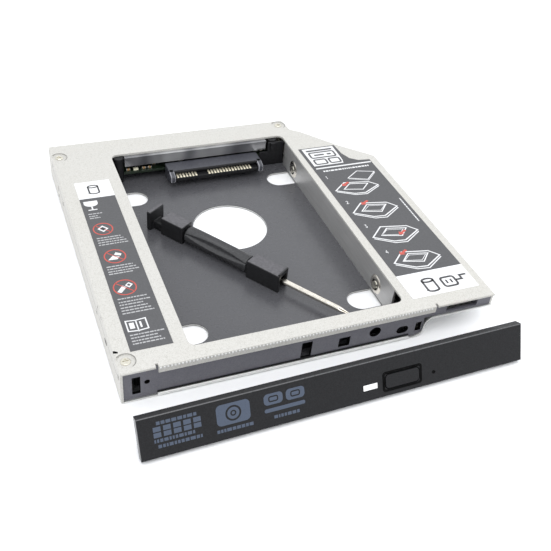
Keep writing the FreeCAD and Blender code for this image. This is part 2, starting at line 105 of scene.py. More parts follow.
def piece(name, mesh, finish, body, stands_for=(), smooth=True, rim=None):
    """The finished object; faces with material index 1 get the second finish, rim."""
    obj = bpy.data.objects.new(name, mesh)
    bpy.context.collection.objects.link(obj)
    used = [face.material_index for face in mesh.polygons]
    mesh.materials.clear()
    mesh.materials.append(finish)
    if rim is not None:
        mesh.materials.append(rim)
        mesh.polygons.foreach_set("material_index", used)
    if smooth:
        mesh.polygons.foreach_set("use_smooth", [True] * len(mesh.polygons))
        mesh.set_sharp_from_angle(angle=math.radians(35))
    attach(obj, body)
    if stands_for:
        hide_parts(*stands_for)
    made.append(obj)
    return obj


def mesh_from(name, bm, move=None):
    """A bmesh turned into a mesh with its faces pointing outwards."""
    if move is not None:
        bm.transform(move)
    bmesh.ops.recalc_face_normals(bm, faces=bm.faces[:])
    mesh = bpy.data.meshes.new(name)
    bm.to_mesh(mesh)
    bm.free()
    return mesh

# %% [markdown]
# ## A kit for finishes
#
# All the finishes are grown from noise in Object coordinates, which are metres in this frame, so a pattern
# keeps its true size on every piece. A small class holds the node tree. It can vary the colour, vary the
# roughness and add relief, and several reliefs can be stacked: a broad unevenness under a fine grain looks
# more like a real surface than one noise does. Numbers that don't vary are set on the shader itself.

# %% The finish kit
class Finish:
    def __init__(self, name, colour, rough, metal=0.0, coat=0.0, specular=0.5):
        self.mat = bpy.data.materials.new(name)
        self.mat.use_nodes = True
        self.nodes, self.links = self.mat.node_tree.nodes, self.mat.node_tree.links
        self.shader = self.nodes["Principled BSDF"].inputs
        for label, value in (("Base Color", (*colour, 1.0)), ("Roughness", rough), ("Metallic", metal),
                             ("Coat Weight", coat), ("Specular IOR Level", specular)):
            self.shader[label].default_value = value
        self.place = self.nodes.new("ShaderNodeTexCoord").outputs["Object"]
        self.last_bump = None

    def add(self, kind, **inputs):
        """A node's first output; each named input is linked if its value is a socket, and set if not."""
        node = self.nodes.new("ShaderNode" + kind)
        for label, value in inputs.items():
            socket = node.inputs[label.replace("_", " ")]
            if isinstance(value, bpy.types.NodeSocket):
                self.links.new(value, socket)
            else:
                socket.default_value = value
        return node.outputs[0]

    def coordinates(self, stretch=(1, 1, 1), turn=0.0):
        return self.add("Mapping", Vector=self.place, Scale=stretch, Rotation=(0, 0, turn))

    def noise(self, size_mm, detail=2.0, stretch=(1, 1, 1), turn=0.0, rough=0.5):
        return self.add("TexNoise", Vector=self.coordinates(stretch, turn), Scale=1.0 / (size_mm * MM),
                        Detail=detail, Roughness=rough)

    def cells(self, size_mm):
        return self.add("TexVoronoi", Vector=self.coordinates(), Scale=1.0 / (size_mm * MM))

    def ramp(self, value, stops):
        node = self.nodes.new("ShaderNodeValToRGB")
        line = node.color_ramp
        while len(line.elements) < len(stops):
            line.elements.new(0.5)
        for element, (place, colour) in zip(line.elements, stops):
            element.position = place
            element.color = (*colour, 1.0)
        self.links.new(value, node.inputs["Fac"])
        return node.outputs["Color"]

    def colour(self, value, *stops):
        self.links.new(self.ramp(value, stops), self.shader["Base Color"])

    def blend_colour(self, first, second, share):
        """Base colour from two colour outputs, mixed by a third value."""
        node = self.nodes.new("ShaderNodeMix")
        node.data_type = "RGBA"
        factor, first_colour, second_colour, mixed = 0, 6, 7, 2
        self.links.new(share, node.inputs[factor])
        self.links.new(first, node.inputs[first_colour])
        self.links.new(second, node.inputs[second_colour])
        self.links.new(node.outputs[mixed], self.shader["Base Color"])

    def roughness(self, value, low, high):
        varied = self.add("MapRange", Value=value, From_Min=0.3, From_Max=0.7, To_Min=low, To_Max=high)
        self.links.new(varied, self.shader["Roughness"])

    def relief(self, value, height_mm, strength=1.0):
        below = {} if self.last_bump is None else {"Normal": self.last_bump}
        self.last_bump = self.add("Bump", Height=value, Distance=height_mm * MM, Strength=strength, **below)
        self.links.new(self.last_bump, self.shader["Normal"])

# %% [markdown]
# ## The metals
#
# The cover is aluminium blasted with coarse grit, so it is pale, dull and speckled: thousands of small pits
# each catch the light their own way. Pits about half a millimetre across carry the relief and a little of
# the colour, and a slow warm drift keeps the large faces from looking like paper. The shell below is the
# same metal left smooth. The bay's side walls are bright steel that mirrors the floor softly.

# %% Aluminium, steel and plating
def blasted_aluminium():
    f = Finish("blasted_aluminium", (0.54, 0.53, 0.50), 0.6, metal=0.2, specular=0.25)
    grain = f.noise(0.34, detail=3.0)
    drift = f.noise(38.0, detail=2.0)
    cool = f.ramp(grain, [(0.28, (0.44, 0.43, 0.41)), (0.47, (0.545, 0.535, 0.51)),
                          (0.72, (0.595, 0.585, 0.57))])
    warm = f.ramp(grain, [(0.28, (0.43, 0.415, 0.38)), (0.47, (0.535, 0.52, 0.48)),
                          (0.72, (0.585, 0.57, 0.54))])
    f.blend_colour(cool, warm, drift)
    f.roughness(f.noise(0.9), 0.52, 0.68)
    f.relief(f.noise(9.0), 0.05, 0.25)
    f.relief(grain, 0.09, 0.55)
    return f.mat


def smooth_aluminium():
    f = Finish("smooth_aluminium", (0.62, 0.62, 0.60), 0.32, metal=0.9)
    draw = f.noise(0.5, detail=3.0, stretch=(0.05, 1, 1))
    f.colour(draw, (0.3, (0.56, 0.56, 0.545)), (0.7, (0.68, 0.68, 0.665)))
    f.roughness(draw, 0.26, 0.42)
    f.relief(f.noise(6.0), 0.03, 0.2)
    f.relief(draw, 0.01, 0.25)
    return f.mat


def rail_steel():
    f = Finish("rail_steel", (0.46, 0.455, 0.45), 0.42, metal=0.6)
    draw = f.noise(0.35, detail=2.0, stretch=(1, 0.04, 1))
    f.colour(draw, (0.3, (0.42, 0.415, 0.41)), (0.7, (0.50, 0.495, 0.49)))
    f.roughness(draw, 0.34, 0.46)
    f.relief(f.noise(5.0), 0.03, 0.25)
    f.relief(draw, 0.006, 0.2)
    return f.mat


def plated_steel(name, colour, rough, metal=1.0):
    f = Finish(name, colour, rough, metal=metal)
    haze = f.noise(1.2, detail=3.0)
    dark = tuple(c * 0.82 for c in colour)
    f.colour(haze, (0.35, dark), (0.65, colour))
    f.roughness(haze, rough * 0.8, rough * 1.3)
    f.relief(f.noise(0.25, detail=2.0), 0.004, 0.3)
    return f.mat


def cut_edge():
    """Bare aluminium where the blasted skin is cut, folded or worn through: brighter and smoother."""
    f = Finish("cut_edge", (0.74, 0.74, 0.73), 0.35, metal=0.35)
    scratch = f.noise(0.6, detail=3.0, stretch=(0.3, 1, 1))
    f.colour(scratch, (0.3, (0.66, 0.66, 0.65)), (0.6, (0.78, 0.78, 0.77)))
    f.roughness(scratch, 0.28, 0.45)
    f.relief(scratch, 0.01, 0.3)
    return f.mat


BLASTED = blasted_aluminium()
CUT_EDGE = cut_edge()
SMOOTH_ALU = smooth_aluminium()
RAIL = rail_steel()
SCREW = plated_steel("screw_plating", (0.70, 0.67, 0.58), 0.28)
BLADE = plated_steel("blade_nickel", (0.74, 0.70, 0.63), 0.2)
GOLD = plated_steel("contact_gold", (0.86, 0.66, 0.28), 0.22)
BRIGHT_GOLD = plated_steel("spring_gold", (0.92, 0.85, 0.66), 0.3, metal=0.4)
TIN = plated_steel("tinned_ends", (0.78, 0.78, 0.76), 0.3)
print("metals:", [material.name for material in bpy.data.materials])

# %% [markdown]
# ## The dark coats and plastics
#
# The floor and the fascia are steel with a fine dark powder coat: almost black, slightly blue, and smooth
# enough to take a soft reflection. Powder shows as a shallow orange peel, so the relief is wide and low.
# The moulded pieces are plain black plastics that differ in their grain: the faceplate has the finest, the
# bar is smoother and a little greasy looking, and the connector has a faint blue cast.

# %% Powder coat, plastics and films
def powder_coat(name, colour, rough):
    f = Finish(name, colour, rough)
    lift = tuple(c * 1.18 + 0.002 for c in colour)
    f.colour(f.noise(0.5, detail=3.0), (0.38, colour), (0.62, lift))
    f.roughness(f.noise(3.0), rough * 0.85, rough * 1.2)
    f.relief(f.noise(1.6, detail=1.0), 0.02, 0.3)
    f.relief(f.noise(0.22, detail=2.0), 0.006, 0.3)
    return f.mat


def lacquer(name, rough):
    """Dark gloss on drawn metal: broad slanting streaks of painted sheen in its colour, and almost no relief.
    """
    f = Finish(name, (0.2, 0.2, 0.21), rough, metal=0.6)
    streaks = f.noise(26.0, detail=2.0, stretch=(1.6, 1, 0.5), turn=0.5, rough=0.6)
    f.colour(streaks, (0.36, (0.11, 0.11, 0.12)), (0.5, (0.24, 0.24, 0.25)), (0.66, (0.46, 0.46, 0.46)))
    f.roughness(f.noise(5.0), rough * 0.7, rough * 1.3)
    f.relief(f.noise(8.0), 0.03, 0.2)
    return f.mat


def moulded(name, colour, rough, grain_mm, depth_mm, strength=0.5, specular=0.5):
    f = Finish(name, colour, rough, specular=specular)
    lift = tuple(c * 1.5 + 0.003 for c in colour)
    f.colour(f.noise(grain_mm * 3, detail=3.0), (0.35, colour), (0.7, lift))
    f.roughness(f.noise(grain_mm * 8), rough * 0.85, rough * 1.15)
    f.relief(f.noise(grain_mm * 14), depth_mm * 2, 0.2)
    f.relief(f.cells(grain_mm), depth_mm, strength)
    return f.mat


def printed(name, colour, rough=0.45):
    f = Finish(name, colour, rough)
    worn = tuple(c * 0.82 for c in colour)
    f.colour(f.noise(0.35, detail=4.0), (0.28, worn), (0.5, colour))
    f.relief(f.noise(0.3), 0.003, 0.2)
    return f.mat


def film(name, colour, rough):
    """A thin printed plastic film, pressed on to the blasted metal, so the grain shows through it."""
    f = Finish(name, colour, rough, specular=0.2)
    lift = tuple(min(1.0, c * 1.12) for c in colour)
    f.colour(f.noise(0.6, detail=3.0), (0.35, colour), (0.65, lift))
    f.relief(f.noise(7.0), 0.03, 0.25)
    f.relief(f.noise(0.5, detail=2.0), 0.012, 0.3)
    return f.mat


COAT = powder_coat("floor_powder_coat", (0.066, 0.066, 0.072), 0.28)
FASCIA = powder_coat("fascia_powder_coat", (0.092, 0.091, 0.108), 0.42)
GLOSS = lacquer("crossbar_lacquer", 0.16)
FACE = moulded("faceplate_plastic", (0.007, 0.007, 0.008), 0.46, 0.14, 0.006, specular=0.2)
BAR = moulded("bar_plastic", (0.009, 0.009, 0.010), 0.40, 0.30, 0.006, 0.35, specular=0.36)
FACE_RIM = moulded("faceplate_rim", (0.060, 0.060, 0.063), 0.30, 0.2, 0.003, 0.2)
ARM_HIGHLIGHT = moulded("arm_painted_highlight", (0.24, 0.24, 0.26), 0.25, 0.5, 0.003, 0.2)
DARK_MARKS = powder_coat("dark_side_marks", (0.055, 0.054, 0.050), 0.6)
HOLE_SHADOW = powder_coat("hole_edge_painted_shadow", (0.30, 0.30, 0.30), 0.5)
SEAM_AND_SHADE = powder_coat("seam_and_painted_shade", (0.17, 0.165, 0.15), 0.6)
# Near black: painted shade in holes, notches and grooves.
PAINTED_SHADE = moulded("painted_groove_shade", (0.0015, 0.0015, 0.0015), 0.8, 0.3, 0.003, specular=0.05)
GRIP = moulded("grip_plastic", (0.026, 0.026, 0.028), 0.40, 0.30, 0.006, 0.35)
BAR_TOP_SHEEN = moulded("bar_top_painted_sheen", (0.078, 0.076, 0.082), 0.45, 0.30, 0.006, specular=0.3)
SOCKET = moulded("connector_plastic", (0.040, 0.041, 0.050), 0.36, 0.2, 0.004)
POST = moulded("post_plastic", (0.008, 0.008, 0.009), 0.5, 0.3, 0.006, specular=0.2)
GREY_FILM = film("label_grey", (0.090, 0.090, 0.094), 0.65)
WHITE_FILM = film("label_white", (0.71, 0.71, 0.72), 0.5)
INK_WHITE = printed("ink_white", (0.70, 0.70, 0.71))
INK_GREY = printed("ink_grey", (0.40, 0.40, 0.41))
INK_RED = printed("ink_red", (0.50, 0.07, 0.05))
INK_DARK = printed("ink_dark", (0.035, 0.035, 0.038))
INK_FACE = printed("ink_face", (0.045, 0.062, 0.098))
print("%d finishes so far" % len(bpy.data.materials))

# %% [markdown]
# ## Softening the CAD parts
#
# A CAD edge is perfectly sharp, and no real edge is: bent sheet, moulded plastic and stamped steel all have
# a small round that catches a line of light. A copy of the CAD mesh is welded, its flat faces are merged
# back into whole faces, and a Bevel modifier rounds the edges that turn by more than 38 degrees. A Weighted
# Normal modifier then keeps the large faces flat in their shading. The copy replaces the node it came from,
# so the sizes stay exactly those of the CAD.

# %% Rounded copies of CAD parts
weld_distance, flat_angle = 0.0005 * MM, math.radians(0.4)


def welded_copy(node):
    bm = bmesh.new()
    bm.from_mesh(frame["nodes"][node].data)
    bmesh.ops.remove_doubles(bm, verts=bm.verts[:], dist=weld_distance)
    bmesh.ops.dissolve_limit(bm, angle_limit=flat_angle, verts=bm.verts[:], edges=bm.edges[:],
                             use_dissolve_boundaries=False)
    return bm


edge_angle = math.radians(38)


def with_modifiers(name, mesh, round_mm, steps=2, bare_and_lit_rounds=False):
    """The mesh with its edges rounded and its normals weighted; if asked, the rounds get material index 1,
    for bare cut metal on the cover and a painted highlight on the guide arms.
    """
    obj = bpy.data.objects.new(name + "_work", mesh)
    bpy.context.collection.objects.link(obj)
    bevel = obj.modifiers.new("edges", "BEVEL")
    if bare_and_lit_rounds:
        for slot in range(2):        # a bevel can only give an index that the mesh has a slot for
            mesh.materials.append(BLASTED)
        bevel.material = 1
    bevel.width = round_mm * MM
    bevel.segments = steps
    bevel.limit_method = "ANGLE"
    bevel.angle_limit = edge_angle
    bevel.miter_outer = "MITER_ARC"
    weighted = obj.modifiers.new("normals", "WEIGHTED_NORMAL")
    weighted.keep_sharp = True
    mesh.polygons.foreach_set("use_smooth", [True] * len(mesh.polygons))
    graph = bpy.context.evaluated_depsgraph_get()
    done = bpy.data.meshes.new_from_object(obj.evaluated_get(graph), depsgraph=graph)
    done.name = name
    bpy.data.objects.remove(obj)
    return done


body_of = {node: body for body, members in frame["record"]["behaviour"]["bodies"].items()
           for node in members}


def softened(node, name, finish, round_mm, steps=2, rim=None):
    """A rounded copy that replaces its CAD node; rim is a second finish for its rounds."""
    bm = welded_copy(node)
    mesh = bpy.data.meshes.new(node + "_welded")
    bm.to_mesh(mesh)
    bm.free()
    mesh = with_modifiers(name, mesh, round_mm, steps, bare_and_lit_rounds=rim is not None)
    obj = piece(name, mesh, finish, body_of[node], stands_for=[node], smooth=False, rim=rim)
    print("%-16s %6d faces" % (name, len(mesh.polygons)))
    return obj

# %% [markdown]
# ## The sheet metal
#
# The caddy is folded from thin sheets: the blasted cover with its bay opening, the smooth shell below, a
# dark sheet lining the floor, a dark fascia and two bright side walls in the bay. Thin sheet has nearly
# sharp edges, so the rounds stay near a tenth of a millimetre. The cover's rounds carry a second finish, the
# bare metal of a cut edge. The fascia's holes go deep into the dark, so the walls inside them are painted
# nearly black as their shade. A rule that looks at each face's middle and direction picks them out.

# %% Cover, shell, floor, fascia and side walls
def repaint(obj, chosen):
    """The second finish on the faces that a rule chooses by their middle, in caddy mm, and their normal."""
    for face in obj.data.polygons:
        face.material_index = int(chosen((face.center - corner) / MM, face.normal))


softened("top_cover", "cover", BLASTED, 0.22, rim=CUT_EDGE)
softened("bottom_shell", "shell", SMOOTH_ALU, 0.10)
softened("floor_sheet", "bay_floor", COAT, 0.06)
fascia = softened("front_plate", "fascia", FASCIA, 0.08, rim=PAINTED_SHADE)
# The walls inside the fascia's holes get the painted shade.
holes_x0, holes_x1, holes_z0, holes_z1 = 2.0, 101.5, 1.3, 11.0
repaint(fascia, lambda spot, normal: holes_x0 < spot.x < holes_x1 and holes_z0 < spot.z < holes_z1
        and abs(normal.y) < 0.6)
for node, name in (("left_rail", "left_wall"), ("right_rail", "right_wall")):
    softened(node, name, RAIL, 0.10)
softened("rear_crossbar", "crossbar", GLOSS, 0.12)

# %% [markdown]
# ## The dark lining behind the fascia
#
# Look through a slot of the fascia and there is only black: a folded black strip stands a few millimetres
# behind it, where the front wall of the bay is. It stops the view, and its black is painted shade, the dark
# seen through the slots. It leaves room for the faceplate's hooks. It is a plain upright wall with a foot,
# drawn as one outline and extruded along the front, and a short wall turns back behind the last slot. Several
# pieces of this kit are made that way, so one function takes outlines, pulls each into a prism, rounds the
# edges and carries the result to its place.

# %% Prisms from outlines, and the front lining
def bridge(bm, rings):
    """Faces from each ring of vertices to the next."""
    for a, b in zip(rings, rings[1:]):
        for k in range(len(a)):
            n = (k + 1) % len(a)
            bm.faces.new([a[k], b[k], b[n], a[n]])


def solid(bm, rings):
    """A closed form: the rings joined, and a cap at both ends."""
    bridge(bm, rings)
    bm.faces.new(rings[0])
    bm.faces.new(reversed(rings[-1]))


def rectangle(x0, y0, x1, y1):
    return [(x0, y0), (x1, y0), (x1, y1), (x0, y1)]


def prisms(name, finish, body, slot, place, parts, round_mm=None, steps=2, stands_for=(), rim=None):
    """Each part is (outline, from, to): drawn in the first and third directions, pulled along the second."""
    bm = bmesh.new()
    for outline, *ends in parts:
        solid(bm, [[bm.verts.new((x, y, z)) for x, z in outline] for y in ends])
    mesh = mesh_from(name, bm, place)
    if round_mm:
        mesh = with_modifiers(name, mesh, round_mm, steps, bare_and_lit_rounds=rim is not None)
    return piece(name, mesh, finish, body, stands_for, smooth=False, rim=rim)


on_caddy = Matrix.Translation(corner) @ Matrix.Scale(MM, 4)
lining_y0, lining_y1, lining_x0, lining_top = 4.95, 5.30, 5.2, 11.85
floor_top = mm_box("floor_sheet")[5]
foot = mm_box("floor_sheet")[3]
lining = [(lining_x0, floor_top), (foot, floor_top), (foot + 1.0, floor_top + 0.2),
          (foot + 2.0, floor_top + 0.8), (foot + 2.4, floor_top + 1.5), (foot + 2.4, lining_top),
          (lining_x0, lining_top)]
return_wall = rectangle(foot + 2.5, 3.3, foot + 2.8, lining_top)
# The lining's black stands for the shade seen through the slots.
prisms("front_lining", POST, "caddy", "dark_coat", on_caddy,
       [(lining, lining_y0, lining_y1), (return_wall, 1.3, lining_y1)], 0.08)

# %% [markdown]
# ## Growing what repeats
#
# Screws, contacts and teeth repeat, so Geometry Nodes makes them. A small helper builds a node tree in
# code. It names the tree's inputs, adds nodes, and links an output wherever a value is one. Each tree ends
# in Realize Instances and Set Material, because instances don't survive an export. The modifier's inputs are
# set by their identifiers before the object is first evaluated, and the result is taken as a plain mesh.

# %% A helper for node trees
class Tree:
    def __init__(self, name, **inputs):
        self.group = bpy.data.node_groups.new(name, "GeometryNodeTree")
        sockets = self.group.interface
        sockets.new_socket("Geometry", in_out="INPUT", socket_type="NodeSocketGeometry")
        for label, value in inputs.items():
            kind = "NodeSocketInt" if isinstance(value, int) else "NodeSocketFloat"
            made_socket = sockets.new_socket(label, in_out="INPUT", socket_type=kind)
            made_socket.default_value = value
        sockets.new_socket("Geometry", in_out="OUTPUT", socket_type="NodeSocketGeometry")
        self.inputs = self.group.nodes.new("NodeGroupInput").outputs

    def add(self, kind, *values, **settings):
        """A node with its settings; values fill its inputs in order, and None leaves one as it is."""
        node = self.group.nodes.new(kind)
        for key, value in settings.items():
            setattr(node, key, value)
        for socket, value in zip([s for s in node.inputs if s.enabled], values):
            if isinstance(value, bpy.types.NodeSocket):
                self.group.links.new(value, socket)
            elif value is not None:
                socket.default_value = value
        return node.outputs[0]

    def math(self, operation, a, b):
        return self.add("ShaderNodeMath", a, b, operation=operation)

    def vector(self, x=0.0, y=0.0, z=0.0):
        return self.add("ShaderNodeCombineXYZ", x, y, z)

    def join(self, *parts):
        node = self.group.nodes.new("GeometryNodeJoinGeometry")
        for part in parts:
            self.group.links.new(part, node.inputs[0])
        return node.outputs[0]

    def end(self, geometry, material):
        realized = self.add("GeometryNodeRealizeInstances", geometry)
        finished = self.add("GeometryNodeSetMaterial", realized, None, material)
        output = self.group.nodes.new("NodeGroupOutput")
        self.group.links.new(finished, output.inputs[0])
        return self


def grow(tree, name, points=((0, 0, 0),), **values):
    """The tree's result on a mesh of loose points, as a plain mesh; the modifier goes with its object."""
    seedbed = bpy.data.meshes.new(name + "_points")
    seedbed.from_pydata([Vector(p) for p in points], [], [])
    obj = bpy.data.objects.new(name + "_seedbed", seedbed)
    bpy.context.collection.objects.link(obj)
    modifier = obj.modifiers.new("grow", "NODES")
    modifier.node_group = tree.group
    for item in tree.group.interface.items_tree:
        if item.in_out == "INPUT" and item.name in values:
            modifier[item.identifier] = values[item.name]
    graph = bpy.context.evaluated_depsgraph_get()
    mesh = bpy.data.meshes.new_from_object(obj.evaluated_get(graph), depsgraph=graph)
    mesh.name = name
    obj.modifiers.remove(modifier)
    bpy.data.objects.remove(obj)
    print("%-16s %6d faces grown" % (name, len(mesh.polygons)))
    return mesh

# %% [markdown]
# ## Turned shapes and screws
#
# The cover, the board and the bay's walls are held with small machine screws. Inside the tree a screw is
# turned like a real one: a line of points becomes a curve, and Curve to Mesh sweeps a circle along it whose
# size changes from point to point. Three points give a head with a chamfer, and points that are thick and
# thin by turns give a thread. A boolean with two thin bars punches the cross. One screw then lands on every
# point of the input, tipped the way the screw points.

# %% The screw tree
def turned(t, count, start, step, radius, scale, sides):
    """A circle swept up a line of points, with its size given point by point."""
    line = t.add("GeometryNodeMeshLine", count, t.vector(z=start), t.vector(z=step))
    curve = t.add("GeometryNodeMeshToCurve", line)
    ring = t.add("GeometryNodeCurvePrimitiveCircle", sides, radius)
    return t.add("GeometryNodeCurveToMesh", curve, ring, scale, True)


def screw_tree(material):
    t = Tree("cross_head_screw", Radius=1.5, Height=0.4, Cross=0.9, Slot=0.34, Depth=0.3,
             Shaft=0.85, Length=2.0, Thread=0.35, Tip=0.0)
    i = t.inputs
    index = t.add("GeometryNodeInputIndex")
    top = t.math("GREATER_THAN", index, 1.5)
    chamfer = t.math("SUBTRACT", 1.0, t.math("MULTIPLY", top, 0.16))
    head = turned(t, 3, 0.0, t.math("DIVIDE", i["Height"], 2.0), i["Radius"], chamfer, 40)
    long = t.math("MULTIPLY", i["Cross"], 2.0)
    deep = t.math("MULTIPLY", i["Depth"], 2.0)
    cut = t.group.nodes.new("GeometryNodeMeshBoolean")
    cut.operation = "DIFFERENCE"
    cut.solver = "EXACT"
    cut.inputs[2].default_value = True       # self intersection: the two bars cross each other
    t.group.links.new(head, cut.inputs["Mesh 1"])
    for x, y in ((long, i["Slot"]), (i["Slot"], long)):
        bar = t.add("GeometryNodeMeshCube", t.vector(x, y, deep))
        bar = t.add("GeometryNodeTransform", bar, t.vector(z=i["Height"]))
        t.group.links.new(bar, cut.inputs["Mesh 2"])
    crest = t.math("ADD", 0.84, t.math("MULTIPLY", t.math("MODULO", index, 2.0), 0.16))
    turns = t.math("ADD", t.math("DIVIDE", i["Length"], i["Thread"]), 1.0)
    down = t.math("MULTIPLY", i["Thread"], -1.0)
    thread = turned(t, turns, 0.0, down, i["Shaft"], crest, 24)
    screw = t.join(cut.outputs[0], thread)
    tipped = t.add("GeometryNodeTransform", screw, None, t.vector(y=i["Tip"]))
    sized = t.add("GeometryNodeTransform", tipped, None, None, (MM, MM, MM))
    placed = t.add("GeometryNodeInstanceOnPoints", i["Geometry"], None, sized)
    return t.end(placed, material)


screws = screw_tree(SCREW)

# %% [markdown]
# ## Where the screws sit
#
# Three flat heads lie in the cover's dimples and two hold the board. The places come from the CAD parts:
# each screw group is one node, so its separate solids are found by walking over connected vertices, and the
# middle of each solid gives the point. That way no place is written twice.

# %% Places of the separate solids in a node
def islands(node):
    """The box of every separate solid in a CAD node, in metres, from left to right."""
    bm = welded_copy(node)
    boxes = []
    left = set(bm.verts)
    while left:
        stack = [left.pop()]
        group = list(stack)
        while stack:
            for edge in stack.pop().link_edges:
                for vert in edge.verts:
                    if vert in left:
                        left.remove(vert)
                        stack.append(vert)
                        group.append(vert)
        low = Vector([min(v.co[k] for v in group) for k in range(3)])
        high = Vector([max(v.co[k] for v in group) for k in range(3)])
        boxes.append((low, high))
    bm.free()
    return sorted(boxes, key=lambda b: (round(b[0].x, 5), round(b[0].y, 5)))


head_t = 0.4 * MM
screw_sets = {"cover_screws": ("cover_screw", 4.9), "board_screws": ("board_screw", 2.8)}
head_points = {}
for node, (name, long) in screw_sets.items():
    head_points[node] = [Vector(((a.x + b.x) / 2, (a.y + b.y) / 2, b.z - head_t)) for a, b in islands(node)]
    mesh = grow(screws, name, head_points[node], Length=long)
    piece(name + "_set", mesh, SCREW, "caddy", [node])

# %% [markdown]
# ## Side screws
#
# The four side screws run through the bay's walls, heads outside and threaded ends in the bay, ready for the
# drive. The same tree makes them, tipped by a quarter turn to either side. On the inside each hole has a
# raised bright seat that presses against the drive. It is a low dome with a hole, a few profile points
# turned round a circle, and the faces close to its hole are painted black as the shade inside it.

# %% Side screws and their seats
def ring_of(bm, profile, sides, centre, axis):
    """A profile of (radius, height) pairs in mm, turned round the axis and joined back to its start."""
    side = axis.orthogonal().normalized()
    other = axis.cross(side)
    angles = [2 * math.pi * k / sides for k in range(sides)]
    spokes = [side * math.cos(angle) + other * math.sin(angle) for angle in angles]
    rings = [[bm.verts.new(centre + (axis * height + spoke * radius) * MM) for spoke in spokes]
             for radius, height in profile]
    bridge(bm, rings + rings[:1])


seat_profile = [(1.75, -0.1), (1.75, 0.25), (2.0, 0.42), (2.5, 0.45), (3.2, 0.28), (3.7, -0.1)]
head_len, head_r, hole_shade_r = 1.3, 2.6, 2.1
seats, both, seat_spots = bmesh.new(), bmesh.new(), []
for side, node in ((-1, "left_rail"), (1, "right_rail")):
    low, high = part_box(node)
    inner = high.x if side < 0 else low.x
    group = [box for box in islands("drive_screws") if (box[0].x < 0) == (side < 0)]
    outer = min(a.x for a, b in group) if side < 0 else max(b.x for a, b in group)
    spots = [Vector((outer - side * head_len * MM, (a.y + b.y) / 2, (a.z + b.z) / 2)) for a, b in group]
    reach = abs(spots[0].x - inner) / MM + 0.9
    both.from_mesh(grow(screws, "side_screw", spots, Radius=head_r, Height=head_len, Cross=1.5, Slot=0.6,
                        Depth=0.8, Shaft=1.4, Length=reach, Thread=0.3, Tip=side * math.pi / 2))
    for spot in spots:
        ring_of(seats, seat_profile, 40, Vector((inner, spot.y, spot.z)), Vector((-side, 0, 0)))
        seat_spots.append((spot - corner) / MM)
piece("side_screw_set", mesh_from("side_screws", both), SCREW, "caddy", ["drive_screws"])
seat = piece("screw_seats", mesh_from("screw_seats", seats), BLADE, "caddy", rim=PAINTED_SHADE)
# Faces close to each hole get the painted shade of the hole.
repaint(seat, lambda spot, normal: min((spot - s).yz.length for s in seat_spots) < hole_shade_r)

# %% [markdown]
# ## The lip's teeth
#
# Along the cover's front edge runs a row of tiny pressed teeth that grip the notebook's bezel. They are
# small half-sunk blocks on a line, so one tree with a count and a pitch does it. The same tree serves
# every row of small blocks: it puts a block on each point that it is given, and a bevel finishes them.
# Below, the bottom sheet is folded forwards into a rounded hem, with a black strip between it and the fascia,
# painted as the shadow in the gap.

# %% Small blocks on points
def block_tree(material):
    t = Tree("small_blocks", Wide=1.0, Deep=1.0, High=1.0)
    i = t.inputs
    block = t.add("GeometryNodeMeshCube", t.vector(i["Wide"], i["Deep"], i["High"]))
    block = t.add("GeometryNodeTransform", block, t.vector(z=t.math("DIVIDE", i["High"], 2.0)))
    sized = t.add("GeometryNodeTransform", block, None, None, (MM, MM, MM))
    placed = t.add("GeometryNodeInstanceOnPoints", i["Geometry"], None, sized)
    return t.end(placed, material)


def block_piece(name, finish, points, size, round_mm, stands_for=()):
    wide, deep, high = size
    mesh = grow(block_tree(finish), name, points, Wide=wide, Deep=deep, High=high)
    mesh = with_modifiers(name, mesh, round_mm)
    return piece(name, mesh, finish, "caddy", stands_for, smooth=False)


lip_x0, lip_x1, tooth_pitch = 12.0, 104.4, 1.1
teeth = int((lip_x1 - lip_x0) / tooth_pitch)
tooth_points = [at(lip_x0 + k * tooth_pitch, 0.02, 11.75) for k in range(teeth)]
block_piece("lip_teeth", CUT_EDGE, tooth_points, (0.55, 0.46, 0.62), 0.12)
print("%d teeth along the lip" % teeth)

# %% The folded hem and its shadow gap
hem_x0, hem_x1 = 11.0, 96.8
prisms("front_hem", CUT_EDGE, "caddy", "shell_metal", on_caddy,
       [(rectangle(hem_x0, 0.3, hem_x1, 1.36), -0.26, 0.5)], 0.3, steps=4)
# A black strip above the hem, painted as the shadow in the gap.
prisms("hem_shadow_gap", POST, "caddy", "dark_coat", on_caddy,
       [(rectangle(hem_x0, 1.38, hem_x1, 1.9), 0.3, 0.75)])

# %% [markdown]
# ## Contacts
#
# Seven signal and fifteen power contacts stand in the drive connector, 1.27 mm apart, and seven and six
# wider-spaced ones in the plug at the back. Each contact is a springy strip: a Bezier curve gives its line, a
# flat rectangle is swept along it, and two lines of points repeat it. The pitch and the gap between the two
# groups are inputs of the tree.

# %% The contact tree
def contact_tree(material):
    t = Tree("contact_row", Signals=7, Powers=15, Pitch=1.27, Gap=13.2, Width=0.7, Thick=0.18,
             Deep=4.6, Rise=1.9, Lead=0.35)
    i = t.inputs
    back = t.vector(y=i["Deep"])
    back_handle = t.vector(y=t.math("MULTIPLY", i["Deep"], 0.5))
    front = t.vector(y=t.math("MULTIPLY", i["Lead"], -1.0), z=i["Rise"])
    front_handle = t.vector(y=t.math("MULTIPLY", i["Lead"], 0.2), z=t.math("MULTIPLY", i["Rise"], 0.2))
    spring = t.add("GeometryNodeCurvePrimitiveBezierSegment", 10, back, back_handle, front_handle, front)
    strip = t.add("GeometryNodeCurvePrimitiveQuadrilateral", i["Width"], i["Thick"])
    contact = t.add("GeometryNodeCurveToMesh", spring, strip, None, True)
    step = t.vector(x=i["Pitch"])
    rows = t.join(t.add("GeometryNodeMeshLine", i["Signals"], None, step),
                  t.add("GeometryNodeMeshLine", i["Powers"], t.vector(x=i["Gap"]), step))
    row = t.add("GeometryNodeInstanceOnPoints", rows, None, contact)
    sized = t.add("GeometryNodeTransform", row, None, None, (MM, MM, MM))
    placed = t.add("GeometryNodeInstanceOnPoints", i["Geometry"], None, sized)
    return t.end(placed, material)


